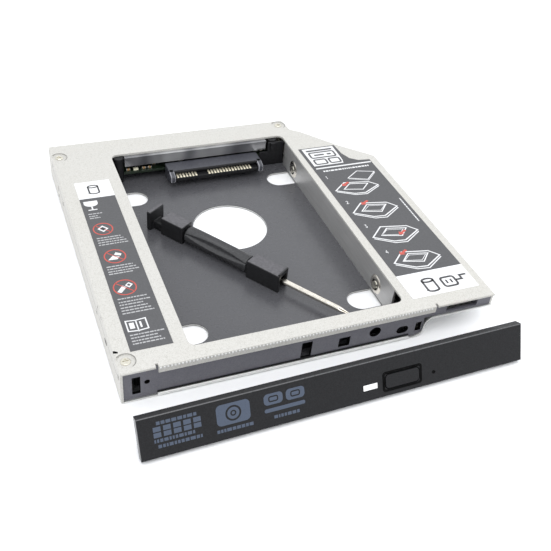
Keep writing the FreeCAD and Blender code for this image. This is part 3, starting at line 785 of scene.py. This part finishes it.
contacts = contact_tree(GOLD)
drive_low, host_low = mm_box("drive_contacts"), mm_box("host_contacts")
drive_start = at(drive_low[0] + 0.35, drive_low[1] - 0.5, 5.66)
drive_row = grow(contacts, "drive_contact_row", [drive_start], Deep=3.2, Rise=-0.12, Lead=0.0, Thick=0.26)
piece("drive_contact_row", drive_row, BRIGHT_GOLD, "caddy", ["drive_contacts"])
host_start = at(host_low[0] + 0.35, host_low[1], host_low[5] - 0.1)
host_row = grow(contacts, "host_contact_row", [host_start], Signals=7, Powers=6, Gap=12.8, Deep=4.0, Rise=0.0,
                Lead=0.0)
piece("host_contact_row", host_row, GOLD, "caddy", ["host_contacts"])

# %% [markdown]
# ## The adapter board
#
# The green board carries the drive connector and a few small parts: ceramic capacitors with tinned ends, a
# voltage regulator and a lamp that shines through the faceplate. The parts are a millimetre or two long, so
# a bevelled block with two bright end caps is all that can be told apart. A board's colour is glass fibre
# under a green lacquer, so its finish has a faint weave of two crossed noises.

# %% Board and its small parts
def solder_mask():
    f = Finish("solder_mask", (0.010, 0.018, 0.010), 0.35, coat=0.2)
    weave = f.noise(0.3, detail=1.0, stretch=(0.2, 1, 1))
    f.colour(weave, (0.35, (0.009, 0.015, 0.009)), (0.65, (0.014, 0.025, 0.013)))
    f.relief(weave, 0.01, 0.3)
    f.relief(f.noise(0.3, detail=1.0, stretch=(1, 0.2, 1)), 0.01, 0.3)
    return f.mat


MASK = solder_mask()
CERAMIC = printed("capacitor_ceramic", (0.42, 0.27, 0.13), 0.35)
CHIP = moulded("chip_moulding", (0.014, 0.014, 0.015), 0.5, 0.12, 0.003)
LAMP = printed("lamp_lens", (0.80, 0.78, 0.60), 0.15)

softened("adapter_board", "board", MASK, 0.05)
chips = [Vector(((a.x + b.x) / 2, (a.y + b.y) / 2, a.z)) for a, b in islands("board_capacitors")]
end_x = 0.62 * MM
ends = [chip + Vector((side * end_x, 0, 0)) for chip in chips for side in (-1, 1)]
chip_size, end_size = (1.1, 0.84, 0.82), (0.36, 0.9, 0.88)
block_piece("capacitor_bodies", CERAMIC, chips, chip_size, 0.08, ["board_capacitors"])
block_piece("capacitor_ends", TIN, ends, end_size, 0.08)
softened("board_regulator", "regulator", CHIP, 0.06)
softened("indicator_light", "lamp", LAMP, 0.12)

# %% [markdown]
# ## Connectors, posts and hidden fixings
#
# The two connectors are glass-filled nylon, nearly black with a blue cast, moulded with crisp corners. The
# drive receptacle is drawn from the side and pulled out across the caddy: a top plate, two guide arms whose
# rounds are painted a paler grey as a highlight, and a dark jaw with a brow, between which the contacts lie.
# A dark shroud fills the corner beside it.

# %% The drive receptacle
x0, y0, z0, x1, y1, z1 = mm_box("drive_connector")
arm_x, arm_w, arm_y = x0 + 1.8, 2.0, y0 + 2.2
mouth, jaw_y, jaw_z, jaw_top = y0 + 5.0, y0 + 2.9, z0 + 1.7, 5.5
plate_t = 0.9
top_plate = [(mouth, z1 - plate_t), (mouth, z1), (y1, z1), (y1, z0), (mouth + 1.6, z0),
             (mouth + 1.6, z1 - plate_t)]
cheek = [(arm_y, jaw_z), (arm_y, 6.0), (arm_y + 0.6, 6.8), (mouth, z1), (mouth + 1.8, z1),
         (mouth + 1.8, jaw_z)]
ledge = [(jaw_y, jaw_z), (jaw_y, jaw_top - 0.4), (jaw_y + 0.3, jaw_top), (mouth + 1.7, jaw_top),
         (mouth + 1.7, jaw_z)]
brow = [(mouth - 0.15, z1 - 0.95), (mouth - 0.15, z1 - 0.2), (mouth + 0.1, z1 + 0.03),
        (mouth + 0.7, z1 + 0.03), (mouth + 0.7, z1 - 0.95)]
sideways = on_caddy @ Matrix(((0, 1, 0, 0), (1, 0, 0, 0), (0, 0, 1, 0), (0, 0, 0, 1)))
arm_end, far_arm, play = arm_x + arm_w, x1 - arm_w, 0.1
arms = [(cheek, arm_x, arm_end), (cheek, far_arm, x1)]
jaw = [(ledge, arm_end + play, far_arm - play), (brow, arm_end, far_arm)]
where = ("caddy", "connector_black", sideways)
prisms("drive_receptacle", SOCKET, *where, [(top_plate, arm_x, x1)], 0.14, stands_for=["drive_connector"])
# The rounds of the guide arms get a paler grey, a painted highlight.
prisms("guide_arms", SOCKET, *where, arms, 0.34, rim=ARM_HIGHLIGHT)
prisms("receptacle_jaw", POST, *where, jaw, 0.1)

# %% The corner shroud, the host plug, posts and nuts
shroud = [(84.6, 1.0), (95.4, 1.0), (95.4, 11.8), (88.3, 11.8), (88.3, 7.6), (84.6, 7.6)]
latch = rectangle(89.4, 8.4, 91.6, 11.6)
prisms("corner_shroud", POST, "caddy", "dark_plastic", on_caddy,
       [(shroud, 111.8, 112.45), (latch, 111.2, 111.9)], 0.15)
for node, name, finish, slot, round_mm in (
        ("host_connector", "host_plug_shell", SOCKET, "connector_black", 0.12),
        ("crossbar_posts", "side_posts", POST, "dark_plastic", 0.25),
        ("corner_posts", "inner_posts", SCREW, "screw_steel", 0.08),
        ("board_posts", "board_standoffs", SCREW, "screw_steel", 0.08),
        ("bracket_nuts", "press_nuts", SCREW, "screw_steel", 0.08)):
    softened(node, name, finish, round_mm)

# %% [markdown]
# ## The retaining bar
#
# A moulded bar holds the drive in place and doubles as the screwdriver's sheath. It lies slantwise in the
# bay, so its pieces are drawn along their own axis, s along the bar and p across it, and one matrix turns
# them into place. The CAD shape gives the blocks; their edges get a generous moulding round, and their tops
# get a paler second finish, a painted sheen for the light they catch from above. Two details are added: a
# rib on the neck behind the end plate, and a raised lip where the blade comes out.

# %% The bar in its own axes
bar_start, bar_turn = at(29.6, 79.2, 0), math.radians(-55.1)
along_bar = Matrix.Translation(bar_start) @ Matrix.Rotation(bar_turn, 4, "Z") @ Matrix.Scale(MM, 4)
bar = softened("retaining_bar", "bar_moulding", BAR, 0.28, steps=3, rim=BAR_TOP_SHEEN)
# Faces that look up, above the grip, get the paler painted sheen.
above_grip = 7.5
repaint(bar, lambda spot, normal: normal.z > 0.9 and spot.z > above_grip)
rib = [(-0.1, 3.0), (4.5, 3.0), (4.5, 4.9), (-0.1, 4.3)]
raised_lip = [(55.9, 7.9), (57.1, 7.9), (57.1, 9.1), (56.5, 9.1)]
prisms("bar_props", BAR, "bar", "bar_plastic", along_bar, [(rib, 2.2, 3.8), (raised_lip, 0.3, 5.7)], 0.15)

# %% [markdown]
# ## The screwdriver
#
# Its grip is one closed form whose radius follows a rule, so it is written as a rule: a slightly bellied
# spindle with domed ends, less six flutes. A flute is deepest at the middle and narrows to a point at both
# ends, which is what gives such a grip its long leaf-shaped facets.

# %% The fluted grip
grip_from, grip_to = 14.7, 42.9
grip_len = grip_to - grip_from
axis_p, axis_z = 3.2, 4.55
grip_r, dome, flute_count, flute_deep = 3.25, 0.9, 6, 0.8


def grip_radius(s, angle):
    """Radius in mm at the place s along the bar, in the direction of the angle."""
    t = (s - grip_from) / grip_len
    edge = min(t, 1 - t) * grip_len
    round_off = math.sqrt(max(0.0, 1 - (1 - min(edge / dome, 1)) ** 2))
    belly = math.sin(math.pi * t)
    base = (grip_r - 0.15 + 0.15 * belly) * (0.5 + 0.5 * round_off)
    sector = 2 * math.pi / flute_count
    off = abs((angle % sector) - sector / 2)
    width = 0.02 + 0.44 * belly ** 0.8
    return base - flute_deep * belly ** 0.5 * max(0.0, 1 - (off / width) ** 2)


def swept(name, stations, sides, radius_at):
    """A closed form of rings at places along the bar, about the screwdriver's axis."""
    bm = bmesh.new()
    angles = [2 * math.pi * k / sides for k in range(sides)]
    rings = []
    for s in stations:
        radii = [radius_at(s, angle) for angle in angles]
        rings.append([bm.verts.new((s, axis_p + r * math.cos(a), axis_z + r * math.sin(a)))
                      for r, a in zip(radii, angles)])
    solid(bm, rings)
    return mesh_from(name, bm, along_bar)


steps = 84
eased = [0.5 - 0.5 * math.cos(math.pi * k / steps) for k in range(steps + 1)]
grip_mesh = swept("screwdriver_grip", [grip_from + grip_len * e for e in eased], 96, grip_radius)
piece("screwdriver_grip", grip_mesh, GRIP, "screwdriver", ["driver_handle"])
print("grip: %d faces" % len(grip_mesh.polygons))

# %% [markdown]
# ## The blade
#
# The blade is a plated rod with a thicker collar at the grip and a cross point. The rod and the collar are
# a list of places and radii. The point is a cone whose radius also depends on the direction: four flanks are
# ground away, a little at the shoulder and a lot at the tip.

# %% Collar, rod and cross point
rod_r, collar_r, blade_end, point_len, point_steps = 1.05, 1.7, 83.4, 3.2, 10
shoulder = blade_end - point_len
blade_profile = [(42.0, 1.5), (42.9, 1.5), (43.0, collar_r), (46.6, collar_r), (46.9, collar_r - 0.3),
                 (46.95, rod_r), (shoulder - 1.2, rod_r), (shoulder, rod_r)]
for k in range(1, point_steps + 1):
    share = k / point_steps
    blade_profile.append((shoulder + point_len * share, rod_r - 0.7 * share ** 1.1))


def blade_radius(s, angle):
    for (s0, r0), (s1, r1) in zip(blade_profile, blade_profile[1:]):
        if s0 <= s <= s1:
            share = (s - s0) / (s1 - s0)
            ground = max(0.0, min(1.0, (s - shoulder + 0.9) / 1.6))
            flank = 1 - abs(math.cos(2 * angle)) ** 0.6
            return (r0 + (r1 - r0) * share) * (1 - 0.52 * ground * flank)
    return blade_profile[-1][1]


blade_places = sorted([s for s, r in blade_profile] + [shoulder - 0.6, shoulder - 0.3])
blade_mesh = swept("screwdriver_blade", blade_places, 48, blade_radius)
piece("screwdriver_blade", blade_mesh, BLADE, "screwdriver", ["driver_shank"])

# %% [markdown]
# ## The faceplate
#
# The loose faceplate is a thin-walled black moulding with three hooks behind, a milky lamp window and an
# eject button in a narrow groove. Its outer edges are already rounded in the CAD, so a small round on the
# rest is enough. The short ends and the rounded front edge catch the light, so they get a paler finish by the
# same kind of rule as the fascia's holes. The button moves, so it stays a piece of its own.

# %% Faceplate, window and button
plate = softened("faceplate", "bezel", FACE, 0.10, rim=FACE_RIM)
facing = (lay_back.to_3x3() @ Vector((0, -1, 0))).normalized()
edge_z, end_x0, end_x1 = mm_box("faceplate")[5] - 1.0, 0.8, 127.2


def catches_light(spot, normal):
    at_end = not end_x0 < spot.x < end_x1 and abs(normal.x) > 0.7
    return at_end or (spot.z > edge_z and 0.25 < normal.dot(facing) < 0.93)


repaint(plate, catches_light)
MILKY = printed("window_milky", (0.88, 0.88, 0.87), 0.25)
softened("light_window", "lamp_window", MILKY, 0.08)
button = softened("eject_button", "button_cap", FACE, 0.06)

# %% [markdown]
# ## Printing
#
# The stickers and the marks on the faceplate are printed. Each ink is a thin closed slab, a few hundredths
# of a millimetre thick, drawn flat in millimetres and carried to its surface by one matrix. A small class
# holds the drawing tools: filled outlines, lines with mitred corners, rings and rows of dashes that stand
# for small print. Nothing on the real print is repeated: the pictures are plain signs, and there are no
# words, only step numbers.

# %% Tools for drawing with ink
class Ink:
    def __init__(self, place, low, high):
        self.bm = bmesh.new()
        self.place, self.low, self.high = place, low, high

    def strip(self, left, right, closed):
        """A ribbon between two rows of points, as a closed slab."""
        rows = [[self.bm.verts.new((x, y, h)) for x, y in row]
                for h in (self.low, self.high) for row in (left, right)]
        under_left, under_right, over_left, over_right = rows
        count = len(left)
        for k in range(count if closed else count - 1):
            n = (k + 1) % count
            for a, b in ((over_left, over_right), (under_right, under_left),
                         (over_right, under_right), (under_left, over_left)):
                self.bm.faces.new([a[k], b[k], b[n], a[n]])
        if not closed:
            for k in (0, -1):
                self.bm.faces.new([under_left[k], under_right[k], over_right[k], over_left[k]])

    def line(self, points, width, closed=False):
        count = len(points)
        left, right, longest_mitre = [], [], 0.45
        for k in range(count):
            here = Vector(points[k])
            before = Vector(points[(k - 1) % count]) if closed or k else None
            after = Vector(points[(k + 1) % count]) if closed or k < count - 1 else None
            arms = [(here - before).normalized()] if before is not None else []
            arms += [(after - here).normalized()] if after is not None else []
            normals = [Vector((-a.y, a.x)) for a in arms]
            middle = sum(normals, Vector((0, 0))).normalized()
            reach = width / 2 / max(longest_mitre, middle.dot(normals[0]))
            left.append(here + middle * reach)
            right.append(here - middle * reach)
        self.strip(left, right, closed)
        return self

    def fill(self, points):
        solid(self.bm, [[self.bm.verts.new((x, y, h)) for x, y in points] for h in (self.low, self.high)])
        return self

    def block(self, x0, y0, x1, y1):
        return self.fill(rectangle(x0, y0, x1, y1))

    def dashes(self, start, stop, middle, height, seed, gap=0.22, longest=1.5, upright=False):
        """A row of dashes of uneven length, as small print looks from afar; upright makes it a column."""
        dice = random.Random(seed)
        low, high = middle - height / 2, middle + height / 2
        while start < stop - 0.3:
            end = min(stop, start + dice.uniform(0.45, longest))
            if upright:
                self.block(low, start, high, end)
            else:
                self.block(start, low, end, high)
            start = end + gap
        return self

    def done(self, name, finish, body="caddy", slot="label_film"):
        return piece(name, mesh_from(name, self.bm, self.place), finish, body, smooth=False)

# %% Outlines to draw
def circle(x, y, r, sides=40, squash=1.0, start=0.0, end=360.0):
    whole = abs(end - start) >= 360
    count = sides if whole else sides + 1
    angles = [math.radians(start + (end - start) * k / sides) for k in range(count)]
    return [(x + r * math.cos(a), y + r * squash * math.sin(a)) for a in angles]


def rounded(x0, y0, x1, y1, r):
    """A rectangle with a quarter circle of six steps at each corner."""
    corners = ((x1 - r, y1 - r), (x0 + r, y1 - r), (x0 + r, y0 + r), (x1 - r, y0 + r))
    return [point for k, (x, y) in enumerate(corners)
            for point in circle(x, y, r, 6, start=90 * k, end=90 * k + 90)]


def fitted(shape, x, y, wide=1.0, high=1.0):
    """A shape moved to x, y, and stretched if it is drawn in shares of a width and a height."""
    return [(x + a * wide, y + b * high) for a, b in shape]


film_low, film_high, ink_t = caddy_top - 0.1, caddy_top - 0.022, 0.010


def cover_ink(layer=1):
    """Ink on a sticker; a second layer lies on the first."""
    return Ink(on_caddy, film_high - 0.004, film_high + ink_t * layer)

# %% [markdown]
# ## Small marks in the metal
#
# Round each pressed dimple the tight bend is painted as a fine dark arc of shade, part of the way round the
# screw. The folded side has a relief notch at the corner, painted black as the shade inside it, and a few
# dark oval marks. None is cut into the metal: each is a thin dark slab on the metal, drawn with the same
# tools: arcs on the cover, and ovals on the side, which is the drawing plane turned upright. A paler line
# there is the seam of cover and shell.

# %% Dimple rims, notch and side marks
body_top = mm_box("top_cover")[5]
# Arcs round each dimple, painted dark as the shade in its bend.
rims = Ink(on_caddy, body_top - 0.03, body_top + 0.012)
for point in head_points["cover_screws"]:
    spot = (point - corner) / MM
    rims.line(circle(spot.x, spot.y, 3.0, 36, start=-60, end=138), 0.26)
rims.done("dimple_rims", SEAM_AND_SHADE, slot="cover_metal")
# The relief notch, painted black as the shade inside it.
relief = fitted([(0, 0), (1.3, -0.3), (1.4, 0.3), (0.5, 0.9), (0, 0.9)], 0.1, 8.7)
notch = Ink(on_caddy, body_top - 0.03, body_top + 0.014).fill(relief)
notch.done("relief_notch", PAINTED_SHADE, slot="cover_metal")

depth = 127.3
on_side = on_caddy @ Matrix(((0, 0, -1, 0), (-1, 0, 0, depth), (0, 1, 0, 0), (0, 0, 0, 1)))
dark_ovals = [(20.6, 6.2, 3.4, 1.5), (2.6, 9.6, 1.0, 1.0), (34.0, 6.6, 2.0, 0.9), (96.0, 6.4, 2.0, 1.6),
         (106.0, 3.6, 1.6, 1.2), (118.4, 9.4, 2.4, 0.8)]
side_marks = Ink(on_side, -0.05, 0.004)
for back, up, wide, high in dark_ovals:
    side_marks.fill(circle(depth - back, up, wide / 2, 24, squash=high / wide))
side_marks.done("side_marks", DARK_MARKS, slot="cover_metal")
seam = Ink(on_side, -0.05, 0.004).block(depth - 119.5, 8.0, depth - 4.5, 8.28)
seam.done("side_seam", SEAM_AND_SHADE, slot="cover_metal")

# %% [markdown]
# ## Painted shadow round the floor's holes
#
# The round hole and the four long holes are punched through the floor, and along the lower edge of each a
# fine grey line is painted as the contact shadow where the shell meets the table. It is the hole's own
# outline, drawn as a narrow ring that stands a few hundredths of a millimetre out of the wall.

# %% Painted shadow rings round the punched holes
# Grey rings painted as the contact shadow at the foot of each hole's wall.
proud, hole_shadow_w, slot_r = 0.02, 0.2, 4.75
hole_shadow_ink = Ink(on_caddy, 0.02, 0.30)
hole_shadow_ink.line(circle(58.9, 73.7, 14.3 + proud, 96), hole_shadow_w, True)
for row in (21.4, 100.4):
    for x, start, wall in ((28.55, -90, 22.6), (89.25, 90, 95.2)):
        bend = circle(x, row, slot_r + proud, 24, start=start, end=start + 180)
        hole_shadow_ink.line([(wall, bend[0][1])] + bend + [(wall, bend[-1][1])], hole_shadow_w)
hole_shadow_ink.done("floor_hole_shadows", HOLE_SHADOW, slot="shell_metal")

# %% [markdown]
# ## The left sticker
#
# A narrow sticker: a white field with a drawn drive, then a dark grey field with handling signs. A glass
# stands for fragile, three red rings cross out things not to do, and an open book stands for the manual.
# Between them run faint rows of dashes.

# %% Films of the left sticker
def sticker(side, grey_outline, white_outline):
    """Two fields of film side by side; the grey one stands for the CAD label."""
    grey = Ink(on_caddy, film_low, film_high).fill(grey_outline).done(side + "_sticker_grey", GREY_FILM)
    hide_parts(side + "_label")
    Ink(on_caddy, film_low, film_high).fill(white_outline).done(side + "_sticker_white", WHITE_FILM)


x0, y0, z0, x1, y1, z1 = mm_box("left_label")
split = 88.0
sticker("left", rectangle(x0, y0, x1, split), rectangle(x0, split, x1, y1))

# %% Signs of the left sticker
def drawn_drive(ink, x, y, wide, high, width):
    """The usual sign for a drive: a drum with a rounded top."""
    r, squash = wide / 2, 0.42
    top, foot = y + high / 2 - r * 0.45, y - high / 2 + r * 0.45
    ink.line(circle(x, top, r, 28, squash), width, True)
    ink.line([(x - r, top), (x - r, foot)] + circle(x, foot, r, 14, squash, 180, 360) + [(x + r, top)], width)


dark = cover_ink()
drawn_drive(dark, 11.2, 93.4, 3.6, 5.6, 0.62)
dark.done("left_drive_sign", INK_DARK)

white, over, red = cover_ink(), cover_ink(2), cover_ink(2)
white.fill(circle(8.5, 84.6, 2.5, 16, 0.72, 180, 360) + [(11.0, 86.2), (6.0, 86.2)])
white.line([(8.5, 82.9), (8.5, 80.9)], 0.5)
white.line([(6.9, 80.7), (10.1, 80.7)], 0.5)
white.line([(6.4, 16.3), (6.4, 20.9), (9.3, 20.6), (9.5, 20.4), (9.7, 20.6), (12.6, 20.9),
            (12.6, 16.3), (9.7, 16.0), (9.5, 15.8), (9.3, 16.0)], 0.42, True)
white.line([(9.5, 20.3), (9.5, 16.0)], 0.4)
white.block(7.2, 17.2, 8.7, 19.8)
white.block(10.4, 17.2, 11.0, 19.8)

# %% Crossed rings: middle, radius, white shapes, grey shape on them
crossed = [(9.6, 68.6, 3.3, [[(-1.9, 0.3), (-0.1, -1.8), (1.9, -0.1), (0.1, 2.0)]],
            [(-1.1, 0.2), (0, -1.0), (1.1, 0), (0, 1.2)]),
           (10.3, 52.7, 3.5, [[(-2.6, -1.6), (0.4, -1.8), (1.5, -0.6), (-0.6, 0.5)],
                              [(-0.2, 0.8), (1.9, -0.1), (2.4, 0.9), (0.6, 2.0)]], None),
           (9.9, 36.4, 3.6, [[(-2.8, -1.7), (-1.6, -2.4), (0.6, 0), (-0.6, 1.0)],
                             [(0.2, 0.9), (1.4, -0.5), (2.8, 0.9), (1.6, 2.1)]],
            [(0.8, 0.9), (1.5, 0.2), (2.1, 0.9), (1.5, 1.5)])]
for x, y, r, shapes, window in crossed:
    for shape in shapes:
        white.fill(fitted(shape, x, y))
    if window:
        over.fill(fitted(window, x, y))
    red.line(circle(x, y, r), 0.42, True)
    red.line([(x - r * 0.7, y + r * 0.7), (x + r * 0.7, y - r * 0.7)], 0.3)
white.done("left_white_signs", INK_WHITE)
over.done("left_grey_details", GREY_FILM)
red.done("left_red_rings", INK_RED)

# %% Small print of the left sticker
print_x = 6.4
row_groups = [(11.6, (78.2, 76.8, 75.6)), (16.8, (63.6, 62.3, 61.0, 59.7)), (16.6, (47.6, 46.3, 45.0, 43.8)),
              (16.4, (31.2, 29.6, 28.3, 26.9, 25.6, 24.3)), (16.9, (14.5, 13.2, 11.9, 10.7))]
small = cover_ink()
for group, (print_end, rows) in enumerate(row_groups):
    for row, y in enumerate(rows):
        shorter = 2.2 * ((row * 7 + group * 3) % 4) / 3
        small.dashes(print_x, print_end - shorter, y, 0.5, seed=10 * group + row)
small.done("left_small_print", INK_GREY)

# %% [markdown]
# ## The right sticker
#
# The wide sticker explains the mounting in four numbered steps, each a little slanted drawing of a tray with
# a red mark on what moves. At the top a plain white block with two sockets takes the place of the
# maker's sign, and at the front a white field shows the drive sign beside a plug.

# %% Films of the right sticker
white_edge, label_front = 17.3, mm_box("right_label")[1]
cut_corner = [(124.6, 88.6), (119.6, 89.2), (116.6, 91.4), (114.9, 95.6), (114.5, 102.5)]
sticker("right", [(98.85, white_edge), (124.95, white_edge)] + cut_corner + [(98.0, 102.5)],
        [(99.0, label_front), (125.0, label_front), (124.95, white_edge), (98.85, white_edge)])

# %% Step drawings: digit, its place, tray box, place of the red mark, place of the drive in the tray
steps = [([(0.1, 0.8), (0.35, 1), (0.35, 0)], (100.6, 79.0), (100.7, 65.6, 18.6, 9.6), (0.32, 0.86), None),
         ([(0, 0.8), (0.3, 1), (0.6, 0.8), (0.5, 0.5), (0, 0), (0.65, 0)], (101.2, 61.2),
          (100.9, 49.5, 18.8, 11.2), (0.40, 0.96), 0.26),
         ([(0, 1), (0.55, 1), (0.25, 0.6), (0.6, 0.32), (0.4, 0), (0, 0.05)], (101.4, 45.4),
          (101.3, 33.9, 18.6, 11.0), (0.66, 0.50), 0.22),
         ([(0.45, 0), (0.45, 1), (0, 0.33), (0.65, 0.33)], (101.8, 29.6),
          (101.8, 18.5, 18.4, 10.8), (0.34, 0.94), 0.24)]
tray_lines = [([(0.0, 0.50), (0.30, 0.97), (0.84, 0.80), (1.0, 0.50), (0.60, 0.10), (0.36, 0.14)], 0.5, True),
              ([(0.20, 0.52), (0.40, 0.84), (0.80, 0.70), (0.60, 0.34)], 0.42, True),
              ([(0.0, 0.42), (0.36, 0.05), (0.61, 0.0), (1.0, 0.42)], 0.42, False)]
drive = [(0.0, 0.54), (0.16, 0.76), (0.5, 0.66), (0.34, 0.42)]
arrow = [(-2.0, -1.0), (0.2, -1.2), (-0.2, -0.5), (1.9, 0.7), (1.2, 1.4), (-0.9, 0.2), (-1.3, 0.9)]

white, red = cover_ink(), cover_ink(2)
for digit, number_spot, (x, y, wide, high), (ax, ay), drive_at in steps:
    for shape, width, closed in tray_lines:
        white.line(fitted(shape, x, y, wide, high), width, closed)
    white.line(fitted(digit, *number_spot, 1.3, 1.7), 0.24)
    if drive_at:
        white.line(fitted(drive, x + drive_at * wide, y, wide, high), 0.22, True)
    red.fill(fitted(arrow, x + ax * wide, y + ay * high))
white.line([(109.4, 77.6), (115.2, 81.6), (122.2, 79.6), (117.0, 74.9)], 0.36, True)
white.line([(109.4, 77.0), (117.0, 74.2), (122.2, 79.0)], 0.26)
white.block(99.4, 86.4, 124.3, 87.2)
white.dashes(101.6, 122.6, 84.4, 0.9, seed=71, gap=0.3)
white.dashes(44.2, 59.6, 123.2, 0.5, seed=72, longest=1.3, upright=True)
white.fill([(99.5, 88.7), (112.6, 88.7), (113.2, 91.0), (113.5, 102.0), (99.3, 102.0)])
white.done("right_white_drawings", INK_WHITE)
red.done("right_red_marks", INK_RED)

# %% Drive and plug signs, and the socket sign
dark = cover_ink()
drawn_drive(dark, 108.4, 10.3, 4.2, 6.6, 0.8)
dark.line(rounded(113.2, 7.9, 118.4, 12.5, 1.0), 0.85, True)
dark.line([(118.6, 10.3), (121.0, 10.3), (121.0, 12.2), (123.6, 12.2)], 0.85)
for x in (114.9, 116.7):
    dark.line([(x, 9.3), (x, 11.2)], 0.7)
dark.done("right_drive_sign", INK_DARK)

over = cover_ink(2)
over.block(100.6, 99.6, 112.2, 100.7)
for x0, y0, x1, y1, r in ((101.0, 94.6, 112.0, 98.6, 0.8), (101.0, 89.8, 106.2, 93.2, 0.7),
                          (107.6, 89.8, 112.2, 93.2, 0.7)):
    over.line(rounded(x0, y0, x1, y1, r), 0.8, True)
for x0, x1 in ((102.8, 107.2), (108.6, 110.4)):
    over.line([(x0, 96.6), (x1, 96.6)], 1.0)
over.done("right_socket_sign", GREY_FILM)

# %% [markdown]
# ## Marks on the faceplate
#
# Three dull blue-grey marks are printed at the faceplate's left end. They are replaced by plain patterns:
# a stack of bars, a rounded tile with rings, and two tiles over a bar. The drawing is made on the upright
# plate and laid back with it. The groove round the button and the small pin hole are too narrow to look
# dark enough by themselves, so a thin black ring deepens each of them. The button carries its own ring,
# because it moves.

# %% Faceplate printing
plate_left, plate_low, plate_front = 0.198, -0.05, -3.4
upright = Matrix(((1, 0, 0, plate_left), (0, 0, -1, plate_front), (0, 1, 0, plate_low), (0, 0, 0, 1)))
on_plate = lay_back @ on_caddy @ upright


def plate_ink(layer=1):
    return Ink(on_plate, -0.01, 0.012 * layer)


marks = plate_ink()
bars, bar_gap, bar_half = 5, 0.7, 0.72
for row, (x0, x1) in enumerate([(5.2, 17.9), (4.3, 15.9), (4.3, 17.9), (4.3, 17.9), (5.4, 17.2)]):
    y = 3.4 + row * 1.75
    if row not in (2, 3):
        marks.dashes(x0, x1, y, 1.0, seed=30 + row, gap=0.3)
        continue
    step = (x1 - x0 + bar_gap) / bars
    for k in range(bars):
        marks.block(x0 + k * step, y - bar_half, x0 + (k + 1) * step - bar_gap, y + bar_half)
for x0, y0, x1, y1, r in ((22.4, 4.5, 32.5, 11.0, 1.4), (36.8, 7.2, 42.7, 10.7, 1.2),
                          (43.7, 7.2, 49.6, 10.7, 1.2), (36.8, 4.9, 49.6, 6.1, 0.55)):
    marks.fill(rounded(x0, y0, x1, y1, r))
marks.dashes(22.2, 33.6, 3.0, 1.0, seed=41, gap=0.25)
marks.dashes(39.6, 47.6, 3.1, 1.0, seed=42, gap=0.3)
marks.done("face_marks", INK_FACE, "front_bezel", "face_black")

# %% Dark rings round the button and the pin hole
to_plate = on_plate.inverted()
cap_points = [to_plate @ v.co for v in button.data.vertices]
bx0, bx1 = min(p.x for p in cap_points), max(p.x for p in cap_points)
by0, by1 = min(p.y for p in cap_points), max(p.y for p in cap_points)
cap_front = max(p.z for p in cap_points)
groove, inset = 0.4, 0.2
ring = plate_ink()
ring.line(rounded(bx0 - groove / 2, by0 - groove / 2, bx1 + groove / 2, by1 + groove / 2, 0.9), groove, True)
ring.fill(circle(93.9 - plate_left, 4.0 - plate_low, 0.6, 20))
ring.done("groove_shadow", PAINTED_SHADE, "front_bezel", "face_black")
cap_ring = Ink(on_plate, cap_front - 0.02, cap_front + 0.008)
cap_ring.line(rounded(bx0 + inset, by0 + inset, bx1 - inset, by1 - inset, 0.6), 0.3, True)
cap_ring.done("button_edge_shadow", PAINTED_SHADE, "button", "face_black")
print("button: %.1f x %.1f mm at %.1f, %.1f" % (bx1 - bx0, by1 - by0, bx0, by0))

# %% Lines left free in the tiles
free = plate_ink(2)
free.line(circle(27.45, 7.75, 2.1), 0.55, True)
free.line(circle(27.45, 7.75, 0.7, 20), 0.4, True)
for x0, x1 in ((38.4, 41.1), (45.3, 48.0)):
    free.line(rounded(x0, 8.2, x1, 9.7, 0.5), 0.4, True)
free.done("face_mark_details", FACE, "front_bezel", "face_black")

# %% [markdown]
# ## Floor, light and camera
#
# The set lies on a pale floor under soft studio light. A large panel to the right and behind gives the
# gentle shadow on the left, a second one overhead fills the bay, and a bright sky keeps the metal pale. The
# camera looks down from the front left, a little rolled, through a normal lens.

# %% The stage
def stage_floor():
    f = Finish("stage_floor", (0.95, 0.95, 0.96), 0.7)
    f.colour(f.noise(220.0), (0.3, (0.94, 0.94, 0.95)), (0.7, (0.96, 0.96, 0.97)))
    return f.mat


ground = bpy.data.meshes.new("stage_floor")
half, below = 3.0, -0.00005
corners = [(x, y, 0) for x, y in rectangle(-half, -half, half, half)]
ground.from_pydata(corners, [], [(0, 1, 2, 3)])
ground.materials.append(stage_floor())
stage = bpy.data.objects.new("stage_floor", ground)
bpy.context.collection.objects.link(stage)
stage.location.z = below


def softbox(name, spot, aim, size, power):
    light = bpy.data.lights.new(name, "AREA")
    light.shape = "RECTANGLE"
    light.size, light.size_y = size
    light.energy = power
    obj = bpy.data.objects.new(name, light)
    bpy.context.collection.objects.link(obj)
    obj.location = spot
    obj.rotation_euler = (Vector(aim) - Vector(spot)).to_track_quat("-Z", "Y").to_euler()


# %% Lights and sky
softbox("window_right", (0.55, 0.35, 0.55), (0, 0, 0), (0.7, 0.5), 0.45)
softbox("overhead", (-0.06, -0.16, 0.42), (-0.03, -0.03, 0), (0.3, 0.3), 0.6)
world = bpy.data.worlds.new("studio")
world.use_nodes = True
sky = world.node_tree.nodes["Background"].inputs
sky["Color"].default_value = (0.96, 0.98, 1.0, 1.0)
sky["Strength"].default_value = 1.35
bpy.context.scene.world = world
bpy.context.scene.view_settings.view_transform = "Standard"

# %% The camera
lens = bpy.data.cameras.new("camera")
lens.lens = 50.25
lens.sensor_width = 36.0
camera = bpy.data.objects.new("camera", lens)
bpy.context.collection.objects.link(camera)
camera.location = (-0.09054, -0.20184, 0.17783)
camera.rotation_euler = [math.radians(a) for a in (49.956, -5.061, -21.395)]
bpy.context.scene.camera = camera

# %% [markdown]
# ## The last step
#
# The number of pieces made is printed.

# %% Count the pieces
print("%d pieces made" % len(made))
